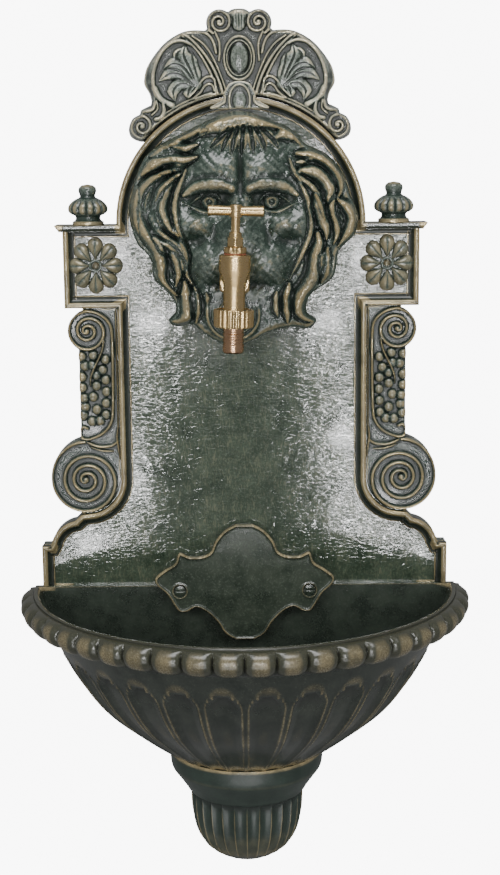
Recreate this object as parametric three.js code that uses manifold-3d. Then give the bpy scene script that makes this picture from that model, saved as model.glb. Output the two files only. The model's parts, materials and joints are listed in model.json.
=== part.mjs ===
// Wall-mounted cast drinking fountain: back plate, lion mask, crest, half-round basin, pendant
// and brass bib tap, each in its own mesh. Millimetres: X to the right, Y into the wall, Z up.
// The origin is on the centre line, in the wall plane, level with the top of the basin.
import * as THREE from 'three';
import { mergeVertices } from 'three/addons/utils/BufferGeometryUtils.js';
import Module from 'manifold-3d';

const wasm = await Module();
wasm.setup();

// ---- driving dimensions ----
const GAP = 0.3;                      // clearance between pieces that touch
const SKIN = 5;                       // wall thickness of the castings
const PANEL_Y = -14;                  // front face of the flat panel
const BAND_Y = -20;                   // front face of the raised mouldings
const BAND_WIDTH = 5;
const ARCH = { z: 310.5, radius: 104 };
const SHELF = { half: 155, bottom: 305.5, y: -24 };
const BLOCK = { half: 149, bottom: 241 };
const SIDE = 105;                     // outer edge of the upright mouldings
const FOOT = { half: 174.8, inner: 168, top: 35.8 };
const APRON = { half: 150, bottom: -60 };
const RIB_HALF = 8;                   // half-height of the ribs behind the panel
const LOWER_SCROLL = { x: 135.3, z: 93.7, radius: 29.3, growth: 6.2 };
const UPPER_SCROLL = { x: 130.8, z: 221.2, rx: 16.4, rz: 17.5 };
const BRACKET_EDGE = 138.5;
const ROSETTE = { x: 122, z: 276.5, petal: 5.2, ring: 14.5, petals: 8 };
const FINIAL = { x: 127.5, y: -13, studY: -4.6 };
const BASIN = {
  centreY: -16, back: -14.3, wall: 6, lip: 178, floor: -145.8,
  lobes: 24, lobeGroove: 4, flutes: 14, fluteDepth: 3,
};
const PENDANT = { top: -146.1, bottom: -242.5, flutes: 14, fluteDepth: 1.6 };
const WASTE = { y: -41.5, tube: 16.6, bore: 13.6, flange: 20.5 };
const COVER = { back: -20.6, front: -25, screwX: 56, screwZ: -4 };
const TAP = { x: -5.3, y: -90, z: 267, lean: 1.8 };
const EXTENSION = { radius: 12, front: -71, shoulder: -47 };
const INLET_THREAD = 10.4;            // outside radius of the 1/2 in inlet thread
const OUTLET_THREAD = 13.2;           // outside radius of the 3/4 in outlet thread

// ---- materials ----
const PAINT = { color: 0x28372e, roughness: 0.35, metalness: 0.5 };
const BRASS = { color: 0xc9a45c, roughness: 0.25, metalness: 1 };
const COPPER = { color: 0xb98560, roughness: 0.3, metalness: 1 };
const STEEL = { color: 0x9a9a96, roughness: 0.4, metalness: 1 };
const RUBBER = { color: 0x1b1b1b, roughness: 0.8, metalness: 0 };
const FIBRE = { color: 0x8c3b26, roughness: 0.9, metalness: 0 };

const fountain = new THREE.Group();
const tap = new THREE.Group();        // the tap leans a little about its inlet
tap.position.set(TAP.x, TAP.y, TAP.z);
tap.rotation.y = THREE.MathUtils.degToRad(TAP.lean);
fountain.add(tap);

// ---- solids ----
// A closed body from a geometry: shared vertices merged, empty triangles dropped, faces outwards.
function solid(geometry) {
  const bare = new THREE.BufferGeometry();
  bare.setAttribute('position', geometry.getAttribute('position'));
  if (geometry.index) bare.setIndex(geometry.index);
  const merged = mergeVertices(bare, 1e-4);
  const place = merged.getAttribute('position');
  const corner = (i) => new THREE.Vector3().fromBufferAttribute(place, i);
  const triangles = [];
  let volume = 0;
  for (let i = 0; i < merged.index.count; i += 3) {
    const [a, b, c] = [0, 1, 2].map((k) => merged.index.getX(i + k));
    if (a === b || b === c || c === a) continue;
    triangles.push([a, b, c]);
    volume += corner(a).dot(corner(b).cross(corner(c)));
  }
  const outward = volume > 0 ? triangles : triangles.map(([a, b, c]) => [a, c, b]);
  return new wasm.Manifold(new wasm.Mesh({
    numProp: 3,
    vertProperties: Float32Array.from(place.array),
    triVerts: Uint32Array.from(outward.flat()),
  }));
}

function addPiece(name, body, look, parent = fountain) {
  const { vertProperties, triVerts } = body.getMesh();
  const geometry = new THREE.BufferGeometry();
  geometry.setAttribute('position', new THREE.BufferAttribute(Float32Array.from(vertProperties), 3));
  geometry.setIndex(new THREE.BufferAttribute(Uint32Array.from(triVerts), 1));
  geometry.computeVertexNormals();
  const mesh = new THREE.Mesh(geometry, new THREE.MeshStandardMaterial(look));
  mesh.name = name;
  parent.add(mesh);
}

const join = (first, ...rest) => rest.reduce((sum, body) => sum.add(body), first);
const cut = (first, ...rest) => rest.reduce((sum, body) => sum.subtract(body), first);

const toShape = (points, holes = []) => {
  const vectors = (list) => list.map(([u, v]) => new THREE.Vector2(u, v));
  const shape = new THREE.Shape(vectors(points));
  shape.holes = holes.map((hole) => new THREE.Path(vectors(hole)));
  return shape;
};

// A prism whose outline lies in the XZ plane, from y = front to y = back.
function prismY(points, front, back, holes) {
  const options = { depth: back - front, bevelEnabled: false };
  const geometry = new THREE.ExtrudeGeometry(toShape(points, holes), options);
  geometry.rotateX(Math.PI / 2);
  geometry.translate(0, back, 0);
  return solid(geometry);
}

// A prism whose outline lies in the XY plane, from z = low to z = high.
function prismZ(points, low, high, holes) {
  const options = { depth: high - low, bevelEnabled: false };
  const geometry = new THREE.ExtrudeGeometry(toShape(points, holes), options);
  geometry.translate(0, 0, low);
  return solid(geometry);
}

// A turned body about the vertical through (x, y); the profile holds [radius, z] pairs.
function turnedZ(profile, segments = 16, x = 0, y = 0) {
  const geometry = new THREE.LatheGeometry(profile.map(([r, z]) => new THREE.Vector2(r, z)), segments);
  geometry.rotateX(Math.PI / 2);
  geometry.translate(x, y, 0);
  return solid(geometry);
}

// A turned body about an axis along Y through (x, z); the profile holds [radius, y] pairs.
function turnedY(profile, segments = 16, x = 0, z = 0) {
  const geometry = new THREE.LatheGeometry(profile.map(([r, y]) => new THREE.Vector2(r, y)), segments);
  geometry.translate(x, 0, z);
  return solid(geometry);
}

const rod = (r, low, high) => [[0, low], [r, low], [r, high], [0, high]];
const rodZ = (r, low, high, segments, x, y) => turnedZ(rod(r, low, high), segments, x, y);
const rodY = (r, low, high, segments, x, z) => turnedY(rod(r, low, high), segments, x, z);
const tube = (inner, outer, low, high) => [
  [inner, low], [outer, low], [outer, high], [inner, high], [inner, low],
];
const ringZ = (inner, outer, low, high, segments, x, y) => (
  turnedZ(tube(inner, outer, low, high), segments, x, y));
const ringY = (inner, outer, low, high, segments, x, z) => (
  turnedY(tube(inner, outer, low, high), segments, x, z));

function box(x0, x1, y0, y1, z0, z1) {
  const geometry = new THREE.BoxGeometry(x1 - x0, y1 - y0, z1 - z0);
  geometry.translate((x0 + x1) / 2, (y0 + y1) / 2, (z0 + z1) / 2);
  return solid(geometry);
}

function ellipsoid([x, y, z], [rx, ry, rz], turn = 0, across = 8, down = 6) {
  const geometry = new THREE.SphereGeometry(1, across, down);
  geometry.rotateX(Math.PI / 2);
  geometry.scale(rx, ry, rz);
  geometry.rotateY(turn);
  geometry.translate(x, y, z);
  return solid(geometry);
}

// A rod that points away from the arch's centre, at an angle from the vertical.
function archRod(radius, inner, outer, y, degrees) {
  const geometry = new THREE.CylinderGeometry(radius, radius, outer - inner, 12);
  geometry.rotateX(Math.PI / 2);
  geometry.translate(0, y, (inner + outer) / 2);
  geometry.rotateY(THREE.MathUtils.degToRad(degrees));
  geometry.translate(0, 0, ARCH.z);
  return solid(geometry);
}

// ---- outlines ----
function arc(cx, cz, rx, rz, from, to, steps) {
  return Array.from({ length: steps + 1 }, (_, i) => {
    const a = THREE.MathUtils.degToRad(from + (to - from) * i / steps);
    return [cx + rx * Math.cos(a), cz + rz * Math.sin(a)];
  });
}

const circle = (cx, cz, rx, rz, steps) => arc(cx, cz, rx, rz, 0, 360 - 360 / steps, steps - 1);
const hexagon = (acrossFlats) => circle(0, 0, acrossFlats / Math.sqrt(3), acrossFlats / Math.sqrt(3), 6);
const mirrored = (points) => points.map(([x, z]) => [-x, z]).reverse();
const symmetric = (half) => [...half, ...mirrored(half)];
const onSide = (side, points) => (side > 0 ? points : mirrored(points));
const SIDES = [1, -1];

// A round outline with scalloped flutes cut into it.
function flutedOutline(radius, depth, flutes) {
  return Array.from({ length: flutes * 2 }, (_, i) => {
    const a = Math.PI * i / flutes;
    const r = radius - depth * (1 - Math.abs(Math.sin(flutes * a / 2)));
    return [r * Math.cos(a), r * Math.sin(a)];
  });
}

// Miter at a point of a line, pointing to the left of its direction.
function miter(points, i, closed) {
  const n = points.length;
  const before = points[closed ? (i + n - 1) % n : Math.max(i - 1, 0)];
  const after = points[closed ? (i + 1) % n : Math.min(i + 1, n - 1)];
  const unit = (a, b) => {
    const length = Math.hypot(b[0] - a[0], b[1] - a[1]);
    return length > 0 ? [(b[0] - a[0]) / length, (b[1] - a[1]) / length] : null;
  };
  const arriving = unit(before, points[i]) ?? unit(points[i], after);
  const leaving = unit(points[i], after) ?? arriving;
  const sum = [-(arriving[1] + leaving[1]), arriving[0] + leaving[0]];
  const scale = 2 / Math.max(sum[0] ** 2 + sum[1] ** 2, 0.8);
  return [sum[0] * scale, sum[1] * scale];
}

// A closed counter-clockwise outline, moved inwards.
function inset(points, distance) {
  return points.map(([x, z], i) => {
    const [mx, mz] = miter(points, i, true);
    return [x + mx * distance, z + mz * distance];
  });
}

// A band of constant width along an open line.
function ribbon(points, width) {
  const edge = (sign) => points.map(([x, z], i) => {
    const [mx, mz] = miter(points, i, false);
    return [x + sign * mx * width / 2, z + sign * mz * width / 2];
  });
  return [...edge(-1), ...edge(1).reverse()];
}

function spiral(cx, cz, start, end, turns, from, steps) {
  return Array.from({ length: steps + 1 }, (_, i) => {
    const a = THREE.MathUtils.degToRad(from + 360 * turns * i / steps);
    const r = start + (end - start) * i / steps;
    return [cx + r * Math.cos(a), cz + r * Math.sin(a)];
  });
}

// ---- back plate ----
const scrollEdge = Array.from({ length: 12 }, (_, i) => {
  const degrees = -84 + 168.5 * i / 11;
  const a = THREE.MathUtils.degToRad(degrees);
  const r = LOWER_SCROLL.radius + LOWER_SCROLL.growth * Math.max(0, degrees / 84.5) ** 1.5;
  return [LOWER_SCROLL.x + r * Math.cos(a), LOWER_SCROLL.z + r * Math.sin(a)];
});

const plateHalf = [
  [APRON.half, APRON.bottom],
  [APRON.half, -2],
  [FOOT.half, -2],
  [FOOT.half, FOOT.top],
  [FOOT.inner, FOOT.top],
  ...arc(141, 31, 26, 27, 12, 80, 5),
  ...scrollEdge,
  [BRACKET_EDGE, 130],
  [BRACKET_EDGE, 205.5],
  ...arc(UPPER_SCROLL.x, UPPER_SCROLL.z, UPPER_SCROLL.rx, UPPER_SCROLL.rz, -56, 78, 8),
  [134.5, BLOCK.bottom],
  [BLOCK.half, BLOCK.bottom],
  [BLOCK.half, SHELF.bottom],
  [SHELF.half - 3.5, SHELF.bottom],
  [SHELF.half, ARCH.z],
  ...arc(0, ARCH.z, ARCH.radius, ARCH.radius, 0, 87, 14),
];
const plateOutline = symmetric(plateHalf);

// The hollow behind the panel leaves a wall of about SKIN all round.
const hollowHalf = [
  [APRON.half - SKIN, APRON.bottom + SKIN],
  [APRON.half - SKIN, 3],
  [FOOT.inner - SKIN, 3],
  [FOOT.inner - SKIN, FOOT.top - SKIN],
  [155, 45],
  [144, 53],
  [134, 60],
  ...arc(LOWER_SCROLL.x, LOWER_SCROLL.z, 24, 25, -60, 70, 8),
  [BRACKET_EDGE - SKIN, 128],
  [BRACKET_EDGE - SKIN, 208],
  ...arc(UPPER_SCROLL.x, UPPER_SCROLL.z, 11.5, 12.5, -50, 80, 5),
  [129.5, BLOCK.bottom + SKIN],
  [BLOCK.half - SKIN, BLOCK.bottom + SKIN],
  [BLOCK.half - SKIN, ARCH.z - SKIN],
  [ARCH.radius - SKIN, ARCH.z - SKIN],
  ...arc(0, ARCH.z, ARCH.radius - SKIN, ARCH.radius - SKIN, 3, 87, 11),
];

// The raised moulding runs round the arch, round the rosette block, down and out to the foot.
const bandHalf = [
  ...arc(0, ARCH.z, ARCH.radius - 2.5, ARCH.radius - 2.5, 90, 2, 12),
  [ARCH.radius - 2.5, 308],
  [BLOCK.half - 2.5, 308],
  [BLOCK.half - 2.5, BLOCK.bottom + 2.5],
  [SIDE - 2.5, BLOCK.bottom + 2.5],
  [SIDE - 2.5, 96],
  ...arc(134, 94, 31.5, 32.5, 188, 258, 6),
  [140, 60.5],
  ...arc(141, 31, 24, 25, 78, 15, 5),
  [FOOT.half - 2.5, 32],
  [FOOT.half - 2.5, GAP],
];

const MASK_SCREWS = [[60, 345], [-60, 345], [48, 272], [-48, 272]];
const BASIN_BOLTS = [[118, -24], [-118, -24], [62, -44], [-62, -44]];
const CREST_SCREW = { y: -4.6, degrees: 24 };
const PENDANT_BOLT = { x: 46, y: -32 };
const inletHole = (radius, front, back) => rodY(radius, front, back, 16, TAP.x, TAP.z);

function grapes(side) {
  const rows = 5;
  const columns = 3;
  return Array.from({ length: rows * columns }, (_, i) => {
    const column = i % columns;
    const row = Math.floor(i / columns);
    const x = 134.2 - column * 7.4;
    const z = 195 - row * 12 + (column % 2) * 6;
    return ellipsoid([side * x, PANEL_Y, z], [3.8, 3.6, 5], 0, 5, 3);
  });
}

function rosette(side) {
  const { x, z, petal, ring, petals } = ROSETTE;
  const eye = ringY(2.6, 5, PANEL_Y - 4.5, PANEL_Y + 1, 12, side * x, z);
  const leaves = Array.from({ length: petals }, (_, i) => {
    const a = 2 * Math.PI * i / petals;
    const centre = [side * x + ring * Math.cos(a), PANEL_Y, z + ring * Math.sin(a)];
    return ellipsoid(centre, [8, 4.5, petal], -a, 6, 4);
  });
  return [eye, ...leaves];
}

function scrolls(side) {
  const lower = spiral(LOWER_SCROLL.x, LOWER_SCROLL.z, 28.5, 3, 2.5, 60, 20);
  const upper = spiral(UPPER_SCROLL.x, UPPER_SCROLL.z, 15.4, 2.5, -1.5, 100, 12);
  const stem = [[110, 224], [110.5, 160], [113, 145], [120, 134], [131, 129.5], [137, 131]];
  const lines = [lower, upper, stem];
  return lines.map((line) => prismY(onSide(side, ribbon(line, 2.2)), PANEL_Y - 4, PANEL_Y + 1));
}

function backPlate() {
  const shelf = [
    [ARCH.radius - 3, SHELF.bottom],
    [SHELF.half - 3.5, SHELF.bottom],
    [SHELF.half, ARCH.z],
    [ARCH.radius - 3, ARCH.z],
  ];
  const shell = cut(prismY(plateOutline, PANEL_Y, 0), prismY(symmetric(hollowHalf), PANEL_Y + SKIN, 1));
  const raised = SIDES.flatMap((side) => [
    prismY(onSide(side, shelf), SHELF.y, -1),
    prismY(onSide(side, ribbon(bandHalf, BAND_WIDTH)), BAND_Y, PANEL_Y + 1),
    ...rosette(side),
    ...scrolls(side),
    ...grapes(side),
  ]);
  const ribs = [
    box(-147, 147, PANEL_Y + 1, 0, -RIB_HALF, RIB_HALF),
    box(-102, 102, PANEL_Y + 1, 0, 150, 160),
  ];
  const holes = SIDES.flatMap((side) => [
    rodY(2.2, PANEL_Y - 2, -4, 8, side * COVER.screwX, COVER.screwZ),
    rodZ(2.2, 300, 313, 8, side * FINIAL.x, FINIAL.studY),
    archRod(2.2, 95, 108, CREST_SCREW.y, side * CREST_SCREW.degrees),
  ]);
  return cut(
    join(shell, ...ribs, ...raised),
    inletHole(INLET_THREAD + 0.6, PANEL_Y - 2, 1),
    ...MASK_SCREWS.map(([x, z]) => rodY(2.2, PANEL_Y - 2, 1, 8, x, z)),
    ...BASIN_BOLTS.map(([x, z]) => rodY(3.3, PANEL_Y - 2, 1, 8, x, z)),
    ...holes,
  );
}

// ---- lion mask ----
const MASK = { centre: 305, back: PANEL_Y - GAP, rim: 5, round: 5 };
const maskHalf = [
  [21, 397], [44, 386], [62, 376], [83, 356], [90, 336], [95, 318], [91, 299], [77.5, 285],
  [74, 267], [60, 252], [55.5, 242], [61.5, 231], [55.5, 225], [42, 226], [27, 220], [11, 212],
];
const bump = (x, z, cx, cz, rx, rz) => Math.exp(-(((x - cx) / rx) ** 2) - ((z - cz) / rz) ** 2);

// How far the face and mane stand in front of the mask's rim.
function maskRelief(x, z) {
  const u = Math.abs(x);
  const skull = Math.sqrt(Math.max(0, 1 - (u / 102) ** 2 - ((z - 308) / 106) ** 2));
  return 22 * skull
    + 9 * bump(u, z, 0, 308, 12, 30)
    + 8 * bump(u, z, 0, 291, 15, 10)
    + 7 * bump(u, z, 18, 268, 13, 13)
    + 6 * bump(u, z, 22, 344, 16, 9)
    - 5 * bump(u, z, 26, 329, 12, 8)
    + 4 * bump(u, z, 45, 305, 16, 18)
    + 6 * bump(u, z, 0, 240, 16, 12);
}

// A closed relief on a star-shaped outline: rings of points from the rim to the centre.
function reliefSolid(outline, rings, back, height) {
  const n = outline.length;
  const points = outline.map(([x, z]) => [x, back, z]);
  for (let ring = 0; ring <= rings; ring += 1) {
    const scale = 1 - ring / (rings + 1);
    for (const [x, z] of outline) {
      const px = x * scale;
      const pz = MASK.centre + (z - MASK.centre) * scale;
      points.push([px, back - height(px, pz, scale), pz]);
    }
  }
  const frontCentre = points.push([0, back - height(0, MASK.centre, 0), MASK.centre]) - 1;
  const backCentre = points.push([0, back, MASK.centre]) - 1;
  const faces = [];
  for (let i = 0; i < n; i += 1) {
    const j = (i + 1) % n;
    for (let row = 0; row <= rings * n; row += n) {
      faces.push([row + i, row + j, row + n + j], [row + i, row + n + j, row + n + i]);
    }
    const last = (rings + 1) * n;
    faces.push([last + i, last + j, frontCentre], [j, i, backCentre]);
  }
  const geometry = new THREE.BufferGeometry();
  geometry.setAttribute('position', new THREE.Float32BufferAttribute(points.flat(), 3));
  geometry.setIndex(faces.flat());
  return solid(geometry);
}

function lionMask() {
  const corners = [[0, 402], ...maskHalf, [0, 211], ...mirrored(maskHalf)];
  const curve = new THREE.CatmullRomCurve3(corners.map(([x, z]) => new THREE.Vector3(x, z, 0)), true);
  const rim = curve.getPoints(48).slice(0, -1).map((p) => [p.x, p.y]);
  const inner = rim.map(([x, z]) => [x * 0.88, MASK.centre + (z - MASK.centre) * 0.88]);
  const front = reliefSolid(rim, 8, MASK.back, (x, z, scale) => (
    MASK.rim + MASK.round * Math.sqrt(1 - scale ** 4) + maskRelief(x, z)));
  const hollow = reliefSolid(inner, 3, MASK.back + 1, (x, z) => MASK.rim + 0.86 * maskRelief(x, z));
  const bosses = MASK_SCREWS.map(([x, z]) => rodY(5, MASK.back - 40, MASK.back, 12, x, z).intersect(front));
  return cut(
    join(cut(front, hollow), ...bosses),
    inletHole(INLET_THREAD + 0.6, -80, 0),
    inletHole(EXTENSION.radius + 0.5, -80, EXTENSION.shoulder + GAP),
    ...MASK_SCREWS.map(([x, z]) => rodY(2.2, MASK.back - 11, MASK.back + 1, 10, x, z)),
  );
}

// ---- crest ----
const CREST = { back: -0.6, front: -20, top: -24, ovalZ: 444.8, ovalX: 13.2, ovalHalf: 18.5 };
const crestHalf = [
  ...arc(0, ARCH.z, ARCH.radius + GAP, ARCH.radius + GAP, 87, 40, 10),
  [84, 378], [90.5, 381], [92.5, 387], [89, 396.5], [82, 400], [79, 405], [73, 408], [73.5, 415],
  [78.6, 424], [76, 437], [69, 448], [60, 458], [48, 465], [38, 467.5], [27, 467],
  ...arc(16, 473.5, 11, 11, -20, 125, 7),
  [7, 482],
];

function crest() {
  const relief = (points, holes) => prismY(points, CREST.top, CREST.front + 1, holes);
  const oval = (grow) => circle(0, CREST.ovalZ, CREST.ovalX + grow, CREST.ovalHalf + grow, 20);
  const line = (side, points) => relief(onSide(side, ribbon(points, 2.4)));
  const details = SIDES.flatMap((side) => [
    line(side, spiral(16, 473.5, 9.6, 2, 1.5, -60, 13)),
    line(side, spiral(81, 390, 8.6, 2, 1.5, 180, 13)),
    line(side, [[17, 424], [19, 436], [25, 450], [36, 461], [48, 463]]),
    line(side, [[70, 410], [75, 424], [72, 437], [64, 449], [52, 458]]),
    ellipsoid([side * 47, CREST.front, 437], [20, 4, 8], side * 0.7, 8, 5),
    ellipsoid([side * 33, CREST.front, 421], [10, 3.5, 5], side * 0.4, 7, 4),
  ]);
  const dome = ellipsoid([0, CREST.front, CREST.ovalZ], [8.2, 6, 14.2], 0, 12, 7);
  const drop = join(
    prismY([[-24, 404], [24, 404], [18, 422], [-18, 422]], CREST.top, BAND_Y - GAP),
    prismY([[-17, 417], [17, 417], [17, 422], [-17, 422]], CREST.top, CREST.front + 1),
  );
  const body = prismY(symmetric(crestHalf), CREST.front, CREST.back);
  return cut(
    join(body, relief(oval(0), [oval(-2.4)]), dome, drop, ...details),
    ...SIDES.map((side) => archRod(2.2, 100, 118, CREST_SCREW.y, side * CREST_SCREW.degrees)),
  );
}

// ---- half-round castings ----
// Rows run from the bottom to the top as [radius, z]; shape(angle, row, radius) may move a point.
function halfRound(rows, back, columns, shape = (angle, row, radius) => radius) {
  const width = columns + 3;
  const points = rows.flatMap(([radius, z], row) => {
    const around = Array.from({ length: columns + 1 }, (_, c) => {
      const angle = Math.PI * c / columns;
      const r = radius > 0 ? shape(angle, row, radius) : 0;
      return [r * Math.cos(angle), BASIN.centreY - r * Math.sin(angle), z];
    });
    return [[around[0][0], back, z], ...around, [around[columns][0], back, z]];
  });
  const faces = [];
  for (let row = 0; row < rows.length - 1; row += 1) {
    for (let c = 0; c < width; c += 1) {
      const d = (c + 1) % width;
      const low = row * width;
      const high = low + width;
      faces.push([low + d, low + c, high + c], [low + d, high + c, high + d]);
    }
  }
  const geometry = new THREE.BufferGeometry();
  geometry.setAttribute('position', new THREE.Float32BufferAttribute(points.flat(), 3));
  geometry.setIndex(faces.flat());
  return solid(geometry);
}

const bowlProfile = [
  [66, BASIN.floor], [84, -134], [109, -114.5], [128, -97], [144, -76], [158, -52], [171, -27],
];
const lobeProfile = [[180, -22.5], [188, -20], [192.5, -15], [193.5, -10], [190.5, -4.5], [184, -1.5]];
const basinInside = [
  [0, -139.8], [58, -139.8], [78, -129], [104, -108], [128, -82], [149, -50],
  [166, -18], [176, 0], [177, 2], [0, 2],
];

function basin() {
  const rows = [[0, BASIN.floor], ...bowlProfile, ...lobeProfile, [181, -2.5], [180.5, 0], [0, 0]];
  const firstLobe = 1 + bowlProfile.length;
  const lastLobe = bowlProfile.length + lobeProfile.length;
  const shape = (angle, row, radius) => {
    if (row > 1 && row < firstLobe - 1) {
      return radius - BASIN.fluteDepth * Math.sin(BASIN.flutes * angle) ** 2;
    }
    if (row < firstLobe || row > lastLobe) return radius;
    const groove = 1 - Math.abs(Math.sin(BASIN.lobes * angle));
    return radius - BASIN.lobeGroove * groove * Math.min(1, (radius - BASIN.lip) / 10);
  };
  const inFront = box(-200, 200, -250, BASIN.back - BASIN.wall, -160, 10);
  return cut(
    halfRound(rows, BASIN.back, 3 * BASIN.lobes, shape),
    halfRound(basinInside, BASIN.back, 36).intersect(inFront),
    rodZ(WASTE.tube + 0.5, -150, -130, 16, 0, WASTE.y),
    ...SIDES.map((side) => rodZ(2.3, -147, -142, 8, side * PENDANT_BOLT.x, PENDANT_BOLT.y)),
    ...SIDES.map((side) => rodY(2.2, -22, -13, 8, side * COVER.screwX, COVER.screwZ)),
    ...BASIN_BOLTS.map(([x, z]) => rodY(3.2, -19.2, -13, 10, x, z)),
  );
}

const pendantBud = [[22, -239.5], [36, -231], [44.5, -219], [48.6, -204], [49.5, -188]];
const pendantCollar = [
  [49.5, -184], [52, -183], [55, -178], [62, -168], [66, -162], [67, -158], [67, -148],
];
const pendantInside = [
  [0, -236], [18, -234], [31, -226], [39, -215], [43, -202], [44, -186], [50, -178],
  [57, -167], [61, -158], [61, -140], [0, -140],
];

function pendant() {
  const rows = [
    [0, PENDANT.bottom], ...pendantBud, ...pendantCollar, [65.5, PENDANT.top], [0, PENDANT.top],
  ];
  const groove = (angle) => PENDANT.fluteDepth * Math.abs(Math.cos(PENDANT.flutes * angle));
  const shape = (angle, row, radius) => (
    row <= pendantBud.length ? radius - groove(angle) : radius);
  const shell = cut(halfRound(rows, 0, 2 * PENDANT.flutes, shape), halfRound(pendantInside, 2, 18));
  const lugs = SIDES.flatMap((side) => [
    rodZ(8, -152, PENDANT.top, 12, side * PENDANT_BOLT.x, PENDANT_BOLT.y),
    box(Math.min(46 * side, 60 * side), Math.max(46 * side, 60 * side), -38, -26, -152, PENDANT.top),
  ]);
  return cut(
    join(shell, ...lugs),
    ...SIDES.map((side) => rodZ(2.3, -154, -144, 8, side * PENDANT_BOLT.x, PENDANT_BOLT.y)),
  );
}

// ---- finials ----
function finial(side) {
  const profile = [
    [0, 310.8], [13, 310.8], [13, 313], [10.5, 315], [10.5, 318], [14, 319.5], [16.6, 322],
    [16, 326], [11, 331], [6.5, 333.5], [7, 336], [7.4, 339], [5.5, 342.5], [0, 344],
  ];
  const behindWall = box(-200, 200, -GAP, 40, 300, 360);
  const stud = rodZ(1.9, 294, 312, 8, side * FINIAL.x, FINIAL.studY);
  return join(cut(turnedZ(profile, 16, side * FINIAL.x, FINIAL.y), behindWall), stud);
}

// ---- cover plate ----
const coverHalf = [
  [10, -47], [18, -41], [25, -31], [33, -22.5], [42, -18.5], [50, -22.5], [56, -23],
  [61, -17], [67, -7], [76, 2], [76.5, 9], [68, 15], [60, 21], [56, 30], [47, 26.5],
  [36, 27], [29, 31], [25, 40], [17, 49.5], [7, 55],
];

function coverPlate() {
  const outline = symmetric(coverHalf);
  const front = prismY(outline, COVER.front, COVER.back);
  const edge = prismY(outline, COVER.front - 1, COVER.front + 1, [inset(outline, 2.2)]);
  const skirt = prismY(inset(outline, 1.5), COVER.back - 1, PANEL_Y - GAP, [inset(outline, 6)]);
  const upperHalf = box(-90, 90, -30, 0, GAP, 70);
  const holes = SIDES.flatMap((side) => [
    rodY(2.3, -30, -10, 8, side * COVER.screwX, COVER.screwZ),
    rodY(5.2, -30, -22.6, 12, side * COVER.screwX, COVER.screwZ),
  ]);
  return cut(join(front, edge, skirt.intersect(upperHalf)), ...holes);
}

// ---- fixings ----
// A screw along Y that enters from behind: its head sits behind y = seat, its tip is in front.
function rearScrew([x, z], seat, tip, head, shank, sides) {
  return join(
    rodY(head, seat + GAP, seat + GAP + 3.6, sides, x, z),
    rodY(shank, tip, seat + 1, 8, x, z),
  );
}

function coverScrew(side) {
  const profile = [[0, -24.6], [4.7, -24.6], [4.7, -24], [1.9, -22.9], [1.9, -6], [0, -6]];
  const x = side * COVER.screwX;
  const slot = box(x - 6, x + 6, -26, -24, COVER.screwZ - 0.6, COVER.screwZ + 0.6);
  return cut(turnedY(profile, 12, x, COVER.screwZ), slot);
}

const crestScrew = (side) => join(
  archRod(3.7, 93.5, 98.2, CREST_SCREW.y, side * CREST_SCREW.degrees),
  archRod(1.9, 97, 116, CREST_SCREW.y, side * CREST_SCREW.degrees),
);

const pendantBolt = (side) => join(
  rodZ(4.4, -157, -152.3, 6, side * PENDANT_BOLT.x, PENDANT_BOLT.y),
  rodZ(2, -153, -142.5, 8, side * PENDANT_BOLT.x, PENDANT_BOLT.y),
);

const finialNut = (side) => cut(
  rodZ(4.1, 299.2, 303.4, 6, side * FINIAL.x, FINIAL.studY),
  rodZ(2.2, 298, 305, 8, side * FINIAL.x, FINIAL.studY),
);

// ---- waste ----
function wasteBody() {
  const slots = Array.from({ length: 6 }, (_, i) => {
    const a = Math.PI * i / 3;
    return rodZ(3.2, -141, -135, 8, 8.2 * Math.cos(a), WASTE.y + 8.2 * Math.sin(a));
  });
  const profile = [
    [0, -139.2], [WASTE.bore, -139.2], [WASTE.bore, -168], [WASTE.tube, -168], [WASTE.tube, -139.5],
    [WASTE.flange, -139.5], [WASTE.flange, -138], [WASTE.flange - 2, -137], [0, -137],
  ];
  return cut(turnedZ(profile, 16, 0, WASTE.y), ...slots);
}

function wasteElbow() {
  const bend = 22;
  const centre = (degrees) => {
    const a = THREE.MathUtils.degToRad(degrees);
    return new THREE.Vector3(0, WASTE.y + bend - bend * Math.cos(a), -172 - bend * Math.sin(a));
  };
  const route = [
    new THREE.Vector3(0, WASTE.y, -158),
    ...[0, 18, 36, 54, 72, 90].map(centre),
    new THREE.Vector3(0, -0.6, -172 - bend),
  ];
  const path = new THREE.CurvePath();
  for (let i = 1; i < route.length; i += 1) path.add(new THREE.LineCurve3(route[i - 1], route[i]));
  const section = (radius) => toShape(circle(0, 0, radius, radius, 12));
  const options = { extrudePath: path, steps: 10 };
  const pipe = (radius) => solid(new THREE.ExtrudeGeometry(section(radius), options));
  const boreEnds = [
    rodZ(WASTE.tube + GAP, -170, -150, 16, 0, WASTE.y),
    rodY(WASTE.tube - 0.1, -3, 1, 24, 0, -172 - bend),
  ];
  return cut(pipe(19.5), pipe(WASTE.tube - 0.1), ...boreEnds);
}

// ---- tap: heights are measured from the inlet axis ----
const SEAT = -9;
const BODY_TOP = 23;
const HANDLE_Z = 57.5;

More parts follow.
